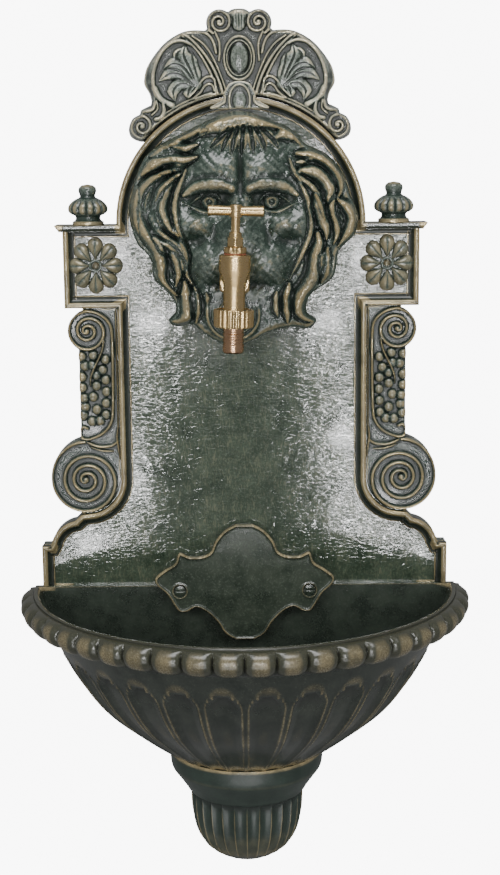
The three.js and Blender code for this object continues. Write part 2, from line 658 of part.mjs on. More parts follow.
function tapBody() {
  const barrel = turnedZ([
    [0, -25.5], [OUTLET_THREAD, -25.5], [OUTLET_THREAD, -20.7], [8.6, -20.7], [8.6, -2],
    [9.6, 1.5], [12.3, 9], [12.7, 11], [12.7, 22.2], [11.9, BODY_TOP], [0, BODY_TOP],
  ]);
  const arm = join(
    rodY(8.8, 0, 14, 20),
    prismY(hexagon(24), 12, 18.7),
    rodY(INLET_THREAD, 18, 31, 24),
  );
  return cut(
    join(barrel, arm),
    rodY(5.5, 0, 32, 16),
    rodZ(6.8, SEAT, 13, 16),
    rodZ(7.6, 12, 24, 16),
    rodZ(4.2, -15, SEAT + 1, 16),
    rodZ(6.2, -26, -13, 20),
  );
}

function headgear() {
  return cut(
    join(
      rodZ(7.3, 13, 25, 16),
      prismZ(flutedOutline(8.9, 0.9, 12), 24.5, 29.1),
      rodZ(5.6, 29, 34.5, 16),
    ),
    rodZ(4.9, 12, 26, 16),
    rodZ(3.8, 25, 32, 16),
    rodZ(4.9, 30.5, 36, 20),
  );
}

const glandNut = () => cut(
  join(prismZ(hexagon(12.2), 29.4, 36.8), rodZ(4.9, 36, 40.9, 20)),
  rodZ(5.9, 29, 34.9, 16),
  rodZ(3.8, 34, 42, 20),
);

const spindle = () => cut(
  turnedZ([[0, -3.3], [4, -3.3], [4, 10], [4.6, 10.5], [4.6, 19], [3.5, 20], [3.5, 60.5], [0, 60.5]], 16),
  rodZ(2.3, -4, 15, 12),
  rodY(1.3, -2.5, 6, 8, 0, HANDLE_Z),
);

function tBar() {
  const arms = new THREE.LatheGeometry([
    [0, -22.2], [4.1, -22.2], [4.3, -21.6], [3.7, -5], [3.7, 5], [4.3, 21.6], [4.1, 22.2], [0, 22.2],
  ].map(([r, y]) => new THREE.Vector2(r, y)), 12);
  arms.rotateZ(Math.PI / 2);
  arms.translate(0, 0, HANDLE_Z);
  return cut(
    join(solid(arms), turnedZ([
      [0, 52.6], [4.9, 52.6], [5.2, 54], [5.2, 61.6], [4.4, 62.4], [0, 62.4],
    ], 20)),
    rodZ(3.8, 50, 60.8, 16),
    rodY(1.3, 0, 6, 8, 0, HANDLE_Z),
  );
}

const jumperValve = () => turnedZ([
  [0, -12], [1.5, -12], [1.5, -5.6], [5.9, -5.6], [5.9, -3.6], [2, -3.6], [2, 13], [0, 13],
], 20);

const hoseUnionNut = () => cut(
  prismZ(flutedOutline(16, 0.9, 24), -34.4, -20.1),
  rodZ(OUTLET_THREAD + 0.4, -31.3, -19, 20),
  rodZ(8.9, -36, -30, 20),
);

function hoseTail() {
  const outside = [
    [0, -55.2], [7.8, -55.2], [8.5, -54], [8.5, -47], [8, -46.4], [8.5, -45.6], [8.5, -39],
    [8, -38.4], [8.5, -37.6], [8.5, -31], [12.9, -31], [12.9, -28.1], [0, -28.1],
  ];
  return cut(turnedZ(outside, 16), rodZ(6.2, -56, -27, 12));
}

// ---- inlet, along Y through the mask's mouth ----
function inletExtension() {
  const { radius, front, shoulder } = EXTENSION;
  const outside = [
    [0, front], [radius, front], [radius, shoulder],
    [INLET_THREAD, shoulder], [INLET_THREAD, -0.6], [0, -0.6],
  ];
  return cut(
    turnedY(outside, 16, TAP.x, TAP.z),
    rodY(INLET_THREAD + GAP, front - 1, -58.6, 16, TAP.x, TAP.z),
    rodY(6.5, -60, 1, 20, TAP.x, TAP.z),
  );
}

const inletBacknut = () => cut(
  rodY(18, -6.9, -1.4, 6, TAP.x, TAP.z),
  inletHole(INLET_THREAD + GAP, -8, 0),
);

// ---- the fountain ----
addPiece('back_plate', backPlate(), PAINT);
addPiece('lion_mask', lionMask(), PAINT);
addPiece('crest', crest(), PAINT);
addPiece('basin', basin(), PAINT);
addPiece('pendant', pendant(), PAINT);
addPiece('cover_plate', coverPlate(), PAINT);
for (const side of SIDES) {
  const hand = side > 0 ? 'right' : 'left';
  addPiece(`finial_${hand}`, finial(side), PAINT);
  addPiece(`finial_nut_${hand}`, finialNut(side), STEEL);
  addPiece(`crest_screw_${hand}`, crestScrew(side), STEEL);
  addPiece(`cover_screw_${hand}`, coverScrew(side), PAINT);
  addPiece(`pendant_bolt_${hand}`, pendantBolt(side), STEEL);
}
MASK_SCREWS.forEach((place, i) => {
  addPiece(`mask_screw_${i + 1}`, rearScrew(place, PANEL_Y + SKIN, -23.5, 4, 1.9, 8), STEEL);
});
BASIN_BOLTS.forEach((place, i) => {
  addPiece(`basin_bolt_${i + 1}`, rearScrew(place, PANEL_Y + SKIN, -18.8, 5.8, 2.9, 6), STEEL);
});
addPiece('waste_strainer', wasteBody(), BRASS);
addPiece('waste_seal', ringZ(WASTE.tube + 0.4, 22, -148.6, -146.1, 16, 0, WASTE.y), RUBBER);
addPiece('waste_nut', cut(
  rodZ(24, -156.5, -148.9, 6, 0, WASTE.y), rodZ(WASTE.tube + GAP, -158, -148, 16, 0, WASTE.y)), BRASS);
addPiece('waste_elbow', wasteElbow(), COPPER);
addPiece('inlet_extension', inletExtension(), BRASS);
addPiece('inlet_washer', ringY(INLET_THREAD + 0.4, 16, -8.7, -7.2, 16, TAP.x, TAP.z), FIBRE);
addPiece('inlet_backnut', inletBacknut(), BRASS);
addPiece('tap_body', tapBody(), BRASS, tap);
addPiece('headgear_washer', ringZ(7.7, 8.8, BODY_TOP + GAP, 24.2, 16), FIBRE, tap);
addPiece('headgear', headgear(), BRASS, tap);
addPiece('gland_packing', ringZ(3.85, 4.6, 30.8, 33.8, 20), FIBRE, tap);
addPiece('gland_nut', glandNut(), BRASS, tap);
addPiece('spindle', spindle(), BRASS, tap);
addPiece('t_bar', tBar(), BRASS, tap);
addPiece('handle_pin', rodY(1, -2, 5, 8, 0, HANDLE_Z), BRASS, tap);
addPiece('jumper_valve', jumperValve(), BRASS, tap);
addPiece('valve_washer', ringZ(1.8, 5.7, SEAT + GAP, -5.9, 20), RUBBER, tap);
addPiece('valve_nut', ringZ(1.8, 3.6, -11.7, -9, 6), BRASS, tap);
addPiece('hose_union_nut', hoseUnionNut(), BRASS, tap);
addPiece('union_washer', ringZ(7.5, 12.6, -27.8, -25.8, 16), RUBBER, tap);
addPiece('hose_tail', hoseTail(), COPPER, tap);

export default fountain;
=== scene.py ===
# Wall-mounted cast drinking fountain. Shapes are worked out in millimetres in the row frame
# (X to the right, Y into the wall, Z up) and stored in metres.
import json
import math

import bpy
import numpy as np
from mathutils import Matrix


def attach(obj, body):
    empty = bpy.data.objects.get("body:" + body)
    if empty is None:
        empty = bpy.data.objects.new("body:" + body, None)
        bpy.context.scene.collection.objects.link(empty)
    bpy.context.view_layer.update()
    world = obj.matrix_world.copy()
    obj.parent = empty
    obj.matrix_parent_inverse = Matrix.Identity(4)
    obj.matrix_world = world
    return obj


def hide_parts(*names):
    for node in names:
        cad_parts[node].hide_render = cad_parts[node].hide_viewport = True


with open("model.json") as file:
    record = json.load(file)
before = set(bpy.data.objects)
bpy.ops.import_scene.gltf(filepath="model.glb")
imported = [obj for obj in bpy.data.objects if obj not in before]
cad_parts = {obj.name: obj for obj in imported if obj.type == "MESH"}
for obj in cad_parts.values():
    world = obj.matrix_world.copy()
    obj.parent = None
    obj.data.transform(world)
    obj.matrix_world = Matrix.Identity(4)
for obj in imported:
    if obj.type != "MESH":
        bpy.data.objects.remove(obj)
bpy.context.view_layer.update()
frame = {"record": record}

MM = 0.001
PI = math.pi
PANEL_Y = -14.0                     # the plate's front face
ARCH_Z, ARCH_R = 310.5, 104.0       # the arch's centre and radius
TAP_PLACE = np.array([-5.3, -90.0, 267.0])
TAP_LEAN = math.radians(1.8)
SIDES = {"right": 1, "left": -1}


# ---- lines ----
def arc(cx, cz, rx, rz, start, end, steps):
    a = np.radians(np.linspace(start, end, steps + 1))
    return np.stack([cx + rx * np.cos(a), cz + rz * np.sin(a)], 1)


def chain(*parts):
    return np.concatenate([np.atleast_2d(np.asarray(p, float)) for p in parts])


def symmetric(half):
    half = np.asarray(half, float)
    return chain(half, (half * [-1, 1])[::-1])


def spline(points, per=8, closed=False):
    """A smooth line through the points."""
    p = np.asarray(points, float)
    n = len(p)
    if n < 3 and not closed:
        t = np.linspace(0, 1, per + 1)[:, None]
        return p[0] + (p[-1] - p[0]) * t
    ids = np.arange(n if closed else n - 1)
    take = (lambda i: p[i % n]) if closed else (lambda i: p[np.clip(i, 0, n - 1)])
    a, b, c, d = take(ids - 1), take(ids), take(ids + 1), take(ids + 2)
    out = []
    for k in range(per):
        t = k / per
        out.append(0.5 * (2 * b + (c - a) * t + (2 * a - 5 * b + 4 * c - d) * t**2
                          + (3 * b - a - 3 * c + d) * t**3))
    line = np.stack(out, 1).reshape(-1, p.shape[1])
    return line if closed else chain(line, p[-1:])


def quarter_spiral(cx, cz, radii, start, turn):
    """A scroll line given by its radius at every quarter turn."""
    radii = np.asarray(radii, float)
    steps = np.linspace(0, len(radii) - 1, 10 * (len(radii) - 1) + 1)
    r = np.interp(steps, np.arange(len(radii)), radii)
    r = np.convolve(np.pad(r, 4, mode="edge"), np.ones(9) / 9, "valid")
    a = np.radians(start) + turn * steps * PI / 2
    return np.stack([cx + r * np.cos(a), cz + r * np.sin(a)], 1)


def smooth(value, low, high):
    t = np.clip((value - low) / (high - low), 0, 1)
    return t * t * (3 - 2 * t)


def bump(x, z, cx, cz, rx, rz):
    return np.exp(-(((x - cx) / rx) ** 2) - ((z - cz) / rz) ** 2)


# ---- meshes: a part is (points, [faces...]) ----
def weld(points, quads):
    """Joins points in the same place; a quad that loses an edge becomes a triangle."""
    points = np.asarray(points, float)
    _, first, back = np.unique(np.round(points, 4), axis=0, return_index=True, return_inverse=True)
    quads = back.reshape(-1)[quads]
    same = np.stack([quads[:, k] == quads[:, (k + 1) % 4] for k in range(4)], 1)
    count = same.sum(1)
    triangles = np.concatenate([np.delete(quads[(count == 1) & same[:, k]], k, axis=1)
                                for k in range(4)])
    a, b, c = triangles.T
    triangles = triangles[(a != b) & (b != c) & (c != a)]
    return points[first], [f for f in (quads[count == 0], triangles) if len(f)]


def volume(points, faces):
    total = 0.0
    for f in faces:
        a = points[f[:, 0]]
        for k in range(1, f.shape[1] - 1):
            total += np.einsum("ij,ij->", a, np.cross(points[f[:, k]], points[f[:, k + 1]]))
    return total


def outward(part):
    points, faces = part
    centred = points - points.mean(0)
    return part if volume(centred, faces) > 0 else (points, [f[:, ::-1] for f in faces])


def merge(*parts):
    points, faces, base = [], [], 0
    for part in parts:
        p, fs = outward(part)
        points.append(p)
        faces += [f + base for f in fs]
        base += len(p)
    return np.concatenate(points), faces


def handed(part, side):
    """The part itself on the right, and its mirror image on the left."""
    points, faces = part
    return part if side > 0 else (points * [-1, 1, 1], [f[:, ::-1] for f in faces])


def grid_faces(rows, columns, wrap_rows=False, wrap_columns=False):
    r = np.arange(rows if wrap_rows else rows - 1)
    c = np.arange(columns if wrap_columns else columns - 1)
    r, c = [k.ravel() for k in np.meshgrid(r, c, indexing="ij")]
    r2, c2 = (r + 1) % rows, (c + 1) % columns
    return np.stack([r * columns + c, r2 * columns + c, r2 * columns + c2, r * columns + c2], 1)


def capped(points, wide):
    """A closed bar from the rows of one section, with a fan of triangles over each end."""
    n = len(points)
    k = np.arange(wide)
    first = np.stack([np.full(wide, n), k, (k + 1) % wide], 1)
    last = np.stack([np.full(wide, n + 1), (k + 1) % wide, k], 1) + [0, n - wide, n - wide]
    points = np.concatenate([points, [points[:wide].mean(0)], [points[-wide:].mean(0)]])
    return outward((points, [grid_faces(n // wide, wide, False, True), first, last]))


def rounded(profile, radius, steps=3, closed=False):
    """A profile with its inner corners rounded off."""
    p = np.asarray(profile, float)
    n = len(p)
    out = []
    for i in range(n):
        if not closed and i in (0, n - 1):
            out.append(p[i])
            continue
        before, here, after = p[i - 1], p[i], p[(i + 1) % n]
        la, lb = np.linalg.norm(before - here), np.linalg.norm(after - here)
        cut = min(radius, 0.45 * la, 0.45 * lb)
        a, b = here + (before - here) * cut / la, here + (after - here) * cut / lb
        for t in np.linspace(0, 1, steps + 1):
            out.append((1 - t) ** 2 * a + 2 * t * (1 - t) * here + t * t * b)
    return np.array(out)


def turned(profile, segments=64, shape=None, closed=False):
    """A turned body about the local Z axis; the profile holds [radius, height] pairs."""
    p = np.asarray(profile, float)
    a = np.arange(segments) * 2 * PI / segments
    radius = np.repeat(p[:, :1], segments, 1)
    height = np.repeat(p[:, 1:], segments, 1)
    if shape is not None:
        radius = shape(a[None, :], radius, height)
    points = np.stack([radius * np.cos(a), radius * np.sin(a), height], 2).reshape(-1, 3)
    return outward(weld(points, grid_faces(len(p), segments, closed, True)))


def ring(profile, soft, segments, shape=None, steps=3):
    """A turned ring with rounded corners: its profile is closed and stays off the axis."""
    return turned(rounded(profile, soft, steps, True), segments, shape, True)


def placed(part, matrix=None, move=(0, 0, 0)):
    points, faces = part
    if matrix is not None:
        points = points @ np.asarray(matrix, float).T
    return points + np.asarray(move, float), faces


ALONG_Y = [[1, 0, 0], [0, 0, 1], [0, -1, 0]]       # local Z becomes Y
ALONG_X = [[0, 0, 1], [0, 1, 0], [-1, 0, 0]]       # local Z becomes X


BATCH = 4000        # places measured at a time, to save memory


def signed_distance(points, outline):
    """Distance to a closed outline, positive inside, and the nearest point on it."""
    a = np.asarray(outline, float)
    b = np.roll(a, -1, 0)
    keep = ((b - a) ** 2).sum(1) > 1e-9
    a, b = a[keep], b[keep]
    e = b - a
    ee = (e**2).sum(1)
    distance = np.empty(len(points))
    nearest = np.empty_like(points)
    rise = np.where(np.abs(e[:, 1]) < 1e-12, 1e-12, e[:, 1])
    for i in range(0, len(points), BATCH):
        q = points[i:i + BATCH]
        dx, dz = q[:, :1] - a[:, 0], q[:, 1:] - a[:, 1]
        t = np.clip((dx * e[:, 0] + dz * e[:, 1]) / ee, 0, 1)
        gap = (dx - t * e[:, 0]) ** 2 + (dz - t * e[:, 1]) ** 2
        k = gap.argmin(1)
        rows = np.arange(len(q))
        nearest[i:i + BATCH] = a[k] + t[rows, k][:, None] * e[k]
        over = (a[:, 1] > q[:, 1:]) != (b[:, 1] > q[:, 1:])
        left = q[:, :1] < a[:, 0] + dz * e[:, 0] / rise
        inside = (over & left).sum(1) % 2 == 1
        distance[i:i + BATCH] = np.where(inside, 1, -1) * np.sqrt(gap[rows, k])
    return distance, nearest


def relief(outline, step, front, back):
    """A closed casting on an XZ outline: front(x, z, d) and back(x, z, d) give Y from the place
    and the distance d to the outline."""
    outline = np.asarray(outline, float)
    low, high = outline.min(0) - step, outline.max(0) + step
    xs = np.arange(math.floor(low[0] / step), math.ceil(high[0] / step) + 1) * step
    zs = np.arange(math.floor(low[1] / step), math.ceil(high[1] / step) + 1) * step
    x, z = np.meshgrid(xs, zs, indexing="ij")
    flat = np.stack([x.ravel(), z.ravel()], 1)
    distance, nearest = signed_distance(flat, outline)
    d = distance.reshape(x.shape)
    kept = (d[:-1, :-1] + d[1:, :-1] + d[:-1, 1:] + d[1:, 1:]) > 0
    for _ in range(4):      # no two cells may meet at a corner only
        a, b, c, e = kept[:-1, :-1], kept[1:, :-1], kept[:-1, 1:], kept[1:, 1:]
        cross = (a & e & ~b & ~c) | (b & c & ~a & ~e)
        if not cross.any():
            break
        i, k = np.nonzero(cross)
        kept[i, k] = kept[i + 1, k] = kept[i, k + 1] = kept[i + 1, k + 1] = False
    i, k = np.nonzero(kept)
    wide = len(zs)
    cells = np.stack([i * wide + k, (i + 1) * wide + k, (i + 1) * wide + k + 1, i * wide + k + 1], 1)
    edges = np.concatenate([cells[:, [m, (m + 1) % 4]] for m in range(4)])
    code = edges[:, 0] * len(flat) + edges[:, 1]
    rim = edges[~np.isin(code, edges[:, 1] * len(flat) + edges[:, 0])]
    on_rim = np.unique(rim)
    place = flat.copy()
    place[on_rim] = nearest[on_rim]
    depth = np.maximum(distance, 0)
    depth[on_rim] = 0
    used = np.unique(cells)
    new = np.full(len(flat), -1)
    new[used] = np.arange(len(used))
    place, depth = place[used], depth[used]
    px, pz = place.T
    near = np.stack([px, front(px, pz, depth), pz], 1)
    far = np.stack([px, np.broadcast_to(back(px, pz, depth), px.shape), pz], 1)
    n = len(used)
    cells, rim = new[cells], new[rim]
    walls = np.stack([rim[:, 1], rim[:, 0], rim[:, 0] + n, rim[:, 1] + n], 1)
    return outward((np.concatenate([near, far]), [cells, cells[:, ::-1] + n, walls]))


class Ridges:
    """Raised lines laid on a surface that is given at scattered places."""

    def __init__(self, x, z):
        self.x, self.z = x, z
        self.height = np.zeros_like(x)

    def near(self, line, reach):
        """The places within reach of a line, their distance to it and how far along it they are."""
        low, high = line.min(0) - reach, line.max(0) + reach
        rows = np.nonzero((self.x > low[0]) & (self.x < high[0])
                          & (self.z > low[1]) & (self.z < high[1]))[0]
        if not len(rows):
            return rows, rows, rows
        a, b = line[:-1], line[1:]
        e = b - a
        ee = np.maximum((e**2).sum(1), 1e-9)
        dx, dz = self.x[rows, None] - a[:, 0], self.z[rows, None] - a[:, 1]
        t = np.clip((dx * e[:, 0] + dz * e[:, 1]) / ee, 0, 1)
        gap = (dx - t * e[:, 0]) ** 2 + (dz - t * e[:, 1]) ** 2
        k = gap.argmin(1)
        pick = np.arange(len(rows))
        length = np.concatenate([[0], np.cumsum(np.sqrt(ee))])
        along = (length[k] + t[pick, k] * np.sqrt(ee[k])) / length[-1]
        return rows, np.sqrt(gap[pick, k]), along

    def line(self, points, width, height, ends=(0.0, 0.0), per=8, power=0.75):
        """Raises the surface to a rounded ridge."""
        rows, gap, along = self.near(spline(points, per), width)
        half = np.interp(along, [0, 0.25, 0.75, 1],
                         [width * (1 - ends[0]) / 2, width / 2, width / 2, width * (1 - ends[1]) / 2])
        t = np.clip(gap / np.maximum(half, 0.2), 0, 1)
        rise = height * (1 - t * t) ** power * np.interp(
            along, [0, 0.15, 0.85, 1], [1 - 0.6 * ends[0], 1, 1, 1 - 0.6 * ends[1]])
        self.height[rows] = np.maximum(self.height[rows], rise)

    def lock(self, points, width, height, trench=0.35, ends=(0.6, 0.8)):
        """Adds a lock of hair: a ridge with a groove on each side."""
        rows, gap, along = self.near(spline(points), width * 1.1)
        taper = np.interp(along, [0, 0.22, 0.7, 1], [1 - ends[0], 1, 1, 1 - ends[1]])
        t = gap / np.maximum(width * taper / 2, 0.3)
        rise = np.where(t < 1, (1 - np.minimum(t, 1) ** 2) ** 0.7, 0)
        dig = np.where((t >= 1) & (t < 1.9), np.sin(PI * (t - 1) / 0.9), 0)
        self.height[rows] += height * (0.35 + 0.65 * taper) * (rise - trench * dig)

    def ball(self, x, z, rx, rz, height, top=False):
        """Adds a round dome, or with top raises the surface to it."""
        t = ((self.x - x) / rx) ** 2 + ((self.z - z) / rz) ** 2
        dome = height * np.sqrt(np.maximum(0, 1 - t))
        self.height = np.maximum(self.height, dome) if top else self.height + dome


# ---- materials ----
def put(tree, kind, inputs=None, **settings):
    node = tree.nodes.new("ShaderNode" + kind)
    for key, value in settings.items():
        setattr(node, key, value)
    for key, value in (inputs or {}).items():
        if isinstance(value, bpy.types.NodeSocket):
            tree.links.new(value, node.inputs[key])
        else:
            node.inputs[key].default_value = value
    return node


def new_material(name):
    material = bpy.data.materials.new(name)
    material.use_nodes = True
    tree = material.node_tree
    tree.nodes.clear()
    return material, tree, put(tree, "TexCoord").outputs["Object"]


def finish_material(tree, inputs, height=None, strength=1.0, depth=0.0):
    """The shader, and the bump that a height gives it."""
    if height is not None:
        lumps = put(tree, "Bump", {"Height": height, "Strength": strength, "Distance": depth})
        inputs = {**inputs, "Normal": lumps.outputs["Normal"]}
    shader = put(tree, "BsdfPrincipled", inputs)
    out = put(tree, "OutputMaterial")
    tree.links.new(shader.outputs["BSDF"], out.inputs["Surface"])


def noise(tree, vector, scale, detail=3.0, rough=0.55, distortion=0.0):
    return put(tree, "TexNoise", {"Vector": vector, "Scale": scale, "Detail": detail,
                                  "Roughness": rough, "Distortion": distortion}).outputs["Fac"]


def stretched(tree, vector, scale):
    return put(tree, "Mapping", {"Vector": vector, "Scale": scale}).outputs["Vector"]


def ramp(tree, value, low, high, to_low=0.0, to_high=1.0):
    return put(tree, "MapRange", {"Value": value, "From Min": low, "From Max": high,
                                  "To Min": to_low, "To Max": to_high}, clamp=True).outputs[0]


def times(tree, a, b):
    return put(tree, "Math", {0: a, 1: b}, operation="MULTIPLY").outputs[0]


def plus(tree, a, b):
    return put(tree, "Math", {0: a, 1: b}, operation="ADD").outputs[0]


def blend(tree, factor, a, b):
    mix = put(tree, "Mix", {0: factor}, data_type="RGBA")
    for socket, value in ((mix.inputs[6], a), (mix.inputs[7], b)):
        if isinstance(value, bpy.types.NodeSocket):
            tree.links.new(value, socket)
        else:
            socket.default_value = (*value, 1)
    return mix.outputs[2]


# The second of these colours is a painted highlight: a pale silvery sheen laid on raised places.
OLIVE_DAB, PAINTED_SHEEN_COLOUR, BOWL_GREEN = (0.130, 0.136, 0.088), (0.32, 0.36, 0.31), (0.056, 0.076, 0.057)
BOWL_AXIS_Y, BOWL_INNER_R, BOWL_OUTER_R = -0.016, 0.174, 0.178      # metres, at the basin's rim


def painted(name, dark, light, gold, gold_from, gold_to, streak=1.0, grain=1.0, roughness=0.09,
            bronze=None, dabs=0.0, painted_sheen=0.0, strokes_share=1.0, swell_share=8.0):
    """Glossy paint brushed over a casting, with gold rubbed on the raised edges, painted shade in the
    hollows and, where asked, a painted pale sheen on what stands out.
    """
    material, tree, place = new_material(name)
    shape = put(tree, "Attribute", attribute_name="edge", attribute_type="GEOMETRY").outputs["Fac"]
    normal = put(tree, "SeparateXYZ", {0: put(tree, "NewGeometry").outputs["Normal"]}).outputs
    blotch = noise(tree, place, 55.0, 4.0, 0.6)
    strokes = noise(tree, stretched(tree, place, (110.0, 300.0, 400.0)), 1.0, 2.0, 0.5, 0.8)
    specks = noise(tree, place, 620.0, 3.0, 0.7)
    body = blend(tree, ramp(tree, blotch, 0.35, 0.7), dark, light)
    body = blend(tree, ramp(tree, specks, 0.52, 0.75, 0.0, 0.5), body, tuple(2.2 * c for c in light))
    if dabs:
        brushed = noise(tree, stretched(tree, place, (520.0, 300.0, 130.0)), 1.0, 3.0, 0.7, 1.2)
        cover = times(tree, ramp(tree, brushed, 0.5, 0.68, 0.0, dabs),
                      ramp(tree, blotch, 0.38, 0.6, 0.25, 1.0))
        body = blend(tree, cover, body, OLIVE_DAB)
    if painted_sheen:    # a painted highlight: a pale grey-green sheen on whatever stands out a little
        sheen_cover = times(tree, ramp(tree, shape, -0.05, gold_from, 0.0, painted_sheen),
                     ramp(tree, specks, 0.36, 0.56, 0.15, 1.0))
        body = blend(tree, sheen_cover, body, PAINTED_SHEEN_COLOUR)
    if bronze is not None:      # bronze on the outside of the bowl, a lighter green on the inside
        height = put(tree, "SeparateXYZ", {0: place}).outputs["Z"]
        flat = put(tree, "VectorMath", {0: place, 1: (1.0, 1.0, 0.0)}, operation="MULTIPLY").outputs[0]
        reach = put(tree, "VectorMath", {0: flat, 1: (0.0, BOWL_AXIS_Y, 0.0)}, operation="DISTANCE")
        reach = reach.outputs["Value"]
        amount = times(tree, ramp(tree, height, -0.026, -0.020),
                       ramp(tree, specks, 0.25, 0.6, 0.4, 1.0))
        amount = times(tree, amount, ramp(tree, reach, BOWL_INNER_R, BOWL_OUTER_R))
        inside = times(tree, ramp(tree, normal["Z"], -0.1, 0.2),
                       ramp(tree, reach, BOWL_INNER_R, BOWL_OUTER_R, 1.0, 0.0))
        inside = times(tree, inside, ramp(tree, blotch, 0.3, 0.6, 0.35, 1.0))
        body = blend(tree, amount, blend(tree, inside, body, BOWL_GREEN), bronze)
    worn = times(tree, ramp(tree, shape, gold_from, gold_to), ramp(tree, specks, 0.3, 0.55, 0.5, 1.0))
    worn = times(tree, worn, ramp(tree, normal["Y"], -0.15, -0.5))      # only on what faces forwards
    worn = times(tree, worn, ramp(tree, blotch, 0.32, 0.55, 0.45, 1.0))
    # painted shade: the paint is darkened in the hollows, where shade falls, and made rougher there
    hollow_shade = ramp(tree, shape, -0.45, -0.05, 0.65, 0.0)
    body = blend(tree, hollow_shade, body, tuple(0.4 * c for c in dark))
    rubbed = blend(tree, ramp(tree, blotch, 0.3, 0.7), gold, tuple(1.4 * c for c in gold))
    rough = plus(tree, ramp(tree, worn, 0.0, 1.0, roughness, roughness + 0.16),
                 times(tree, hollow_shade, 0.5))
    rough = plus(tree, rough, ramp(tree, specks, 0.3, 0.7, -0.03, 0.05))
    swell = noise(tree, place, 26.0, 2.0, 0.5)
    relief_height = plus(tree, times(tree, strokes, strokes_share * streak),
                         plus(tree, times(tree, specks, 0.3 * grain),
                              times(tree, swell, swell_share * streak)))
    finish_material(tree, {
        "Base Color": blend(tree, worn, body, rubbed), "Roughness": rough,
        "Metallic": ramp(tree, worn, 0.0, 1.0, 0.0, 0.7), "IOR": 1.75, "Coat Weight": 0.15,
        "Coat Roughness": 0.05, "Coat IOR": 1.5}, relief_height, 1.0, 0.00009)
    return material


def metal(name, colour, tarnish, roughness):
    """Turned metal with fine lines round it and patches of tarnish."""
    material, tree, place = new_material(name)
    patches = noise(tree, place, 120.0, 4.0, 0.6)
    scratches = noise(tree, stretched(tree, place, (60.0, 60.0, 1400.0)), 1.0, 3.0, 0.6)
    specks = noise(tree, place, 1800.0, 2.0, 0.5)
    finish_material(tree, {
        "Base Color": blend(tree, ramp(tree, patches, 0.42, 0.8), colour, tarnish),
        "Roughness": plus(tree, ramp(tree, patches, 0.3, 0.75, roughness * 0.75, roughness * 1.6),
                          ramp(tree, scratches, 0.4, 0.7, 0.0, 0.06)),
        "Metallic": 1.0},
        plus(tree, times(tree, scratches, 0.7), times(tree, specks, 0.3)), 0.4, 0.00004)
    return material


def plain_finish(name, dark, light, roughness, scale, depth):
    """Rubber and fibre: a mottled matt surface."""
    material, tree, place = new_material(name)
    patches = noise(tree, place, scale, 5.0, 0.65)
    finish_material(tree, {
        "Base Color": blend(tree, ramp(tree, patches, 0.35, 0.7), dark, light),
        "Roughness": ramp(tree, patches, 0.3, 0.7, roughness - 0.08, roughness + 0.08)},
        patches, 0.5, depth)
    return material


GREEN_DARK, GREEN_LIGHT = (0.011, 0.018, 0.012), (0.034, 0.045, 0.033)
GOLD = (0.46, 0.37, 0.20)
looks = {
    "panel": painted("panel_paint", (0.023, 0.036, 0.023), (0.058, 0.078, 0.053), GOLD, 0.2, 0.5,
                     1.0, 0.1, 0.06, dabs=0.9, strokes_share=2.0, swell_share=5.0),
    # carving and crest get a painted highlight: a pale sheen on their raised places
    "carving": painted("carving_paint", (0.012, 0.025, 0.018), (0.034, 0.052, 0.040), GOLD, 0.30, 1.0,
                       0.8, 7.0, painted_sheen=0.3),
    "crest": painted("crest_paint", GREEN_DARK, GREEN_LIGHT, (0.74, 0.66, 0.46), 0.30, 0.8, 0.8, 7.0,
                     painted_sheen=0.8),
    "cover": painted("cover_paint", (0.024, 0.034, 0.024), (0.055, 0.068, 0.050), GOLD, 0.3, 1.0, 0.5,
                     3.0, 0.2),
    "pendant": painted("pendant_paint", (0.009, 0.020, 0.014), (0.021, 0.036, 0.027), GOLD, 0.15, 1.0,
                       0.4, 5.0, 0.42),
    "moulding": painted("moulding_paint", GREEN_DARK, GREEN_LIGHT, GOLD, 0.1, 0.45, 0.3, 2.0),
    "basin": painted("basin_paint", (0.011, 0.016, 0.012), (0.030, 0.036, 0.028), GOLD,
                     0.35, 1.7, 0.4, 6.0, 0.22, bronze=(0.042, 0.043, 0.027)),
    "polished_brass": metal("polished_brass", (0.78, 0.58, 0.30), (0.60, 0.41, 0.18), 0.24),
    "copper_alloy": metal("copper_alloy", (0.70, 0.44, 0.27), (0.52, 0.30, 0.16), 0.2),
    "zinc_steel": metal("zinc_steel", (0.60, 0.60, 0.57), (0.36, 0.36, 0.34), 0.34),
    "black_rubber": plain_finish("black_rubber", (0.012, 0.012, 0.012), (0.03, 0.03, 0.03), 0.75,
                                 600.0, 0.0002),
    "red_fibre": plain_finish("red_fibre", (0.16, 0.045, 0.025), (0.30, 0.10, 0.05), 0.8, 900.0,
                              0.0003),
}
looks["painted_casting"] = looks["carving"]
looks["basin_casting"] = looks["basin"]


# ---- pieces ----
def edge_map(points, edges, normals, rounds):
    """How far each point stands out of the smoothed surface, in mm: edges are positive."""
    n = len(points)
    a, b = edges.T
    count = np.maximum(np.bincount(a, minlength=n) + np.bincount(b, minlength=n), 1)[:, None]
    level = points.copy()
    for _ in range(rounds):
        total = np.stack([np.bincount(a, level[b, k], n) + np.bincount(b, level[a, k], n)
                          for k in range(3)], 1)
        level = 0.4 * level + 0.6 * total / count
    return ((points - level) * normals).sum(1)


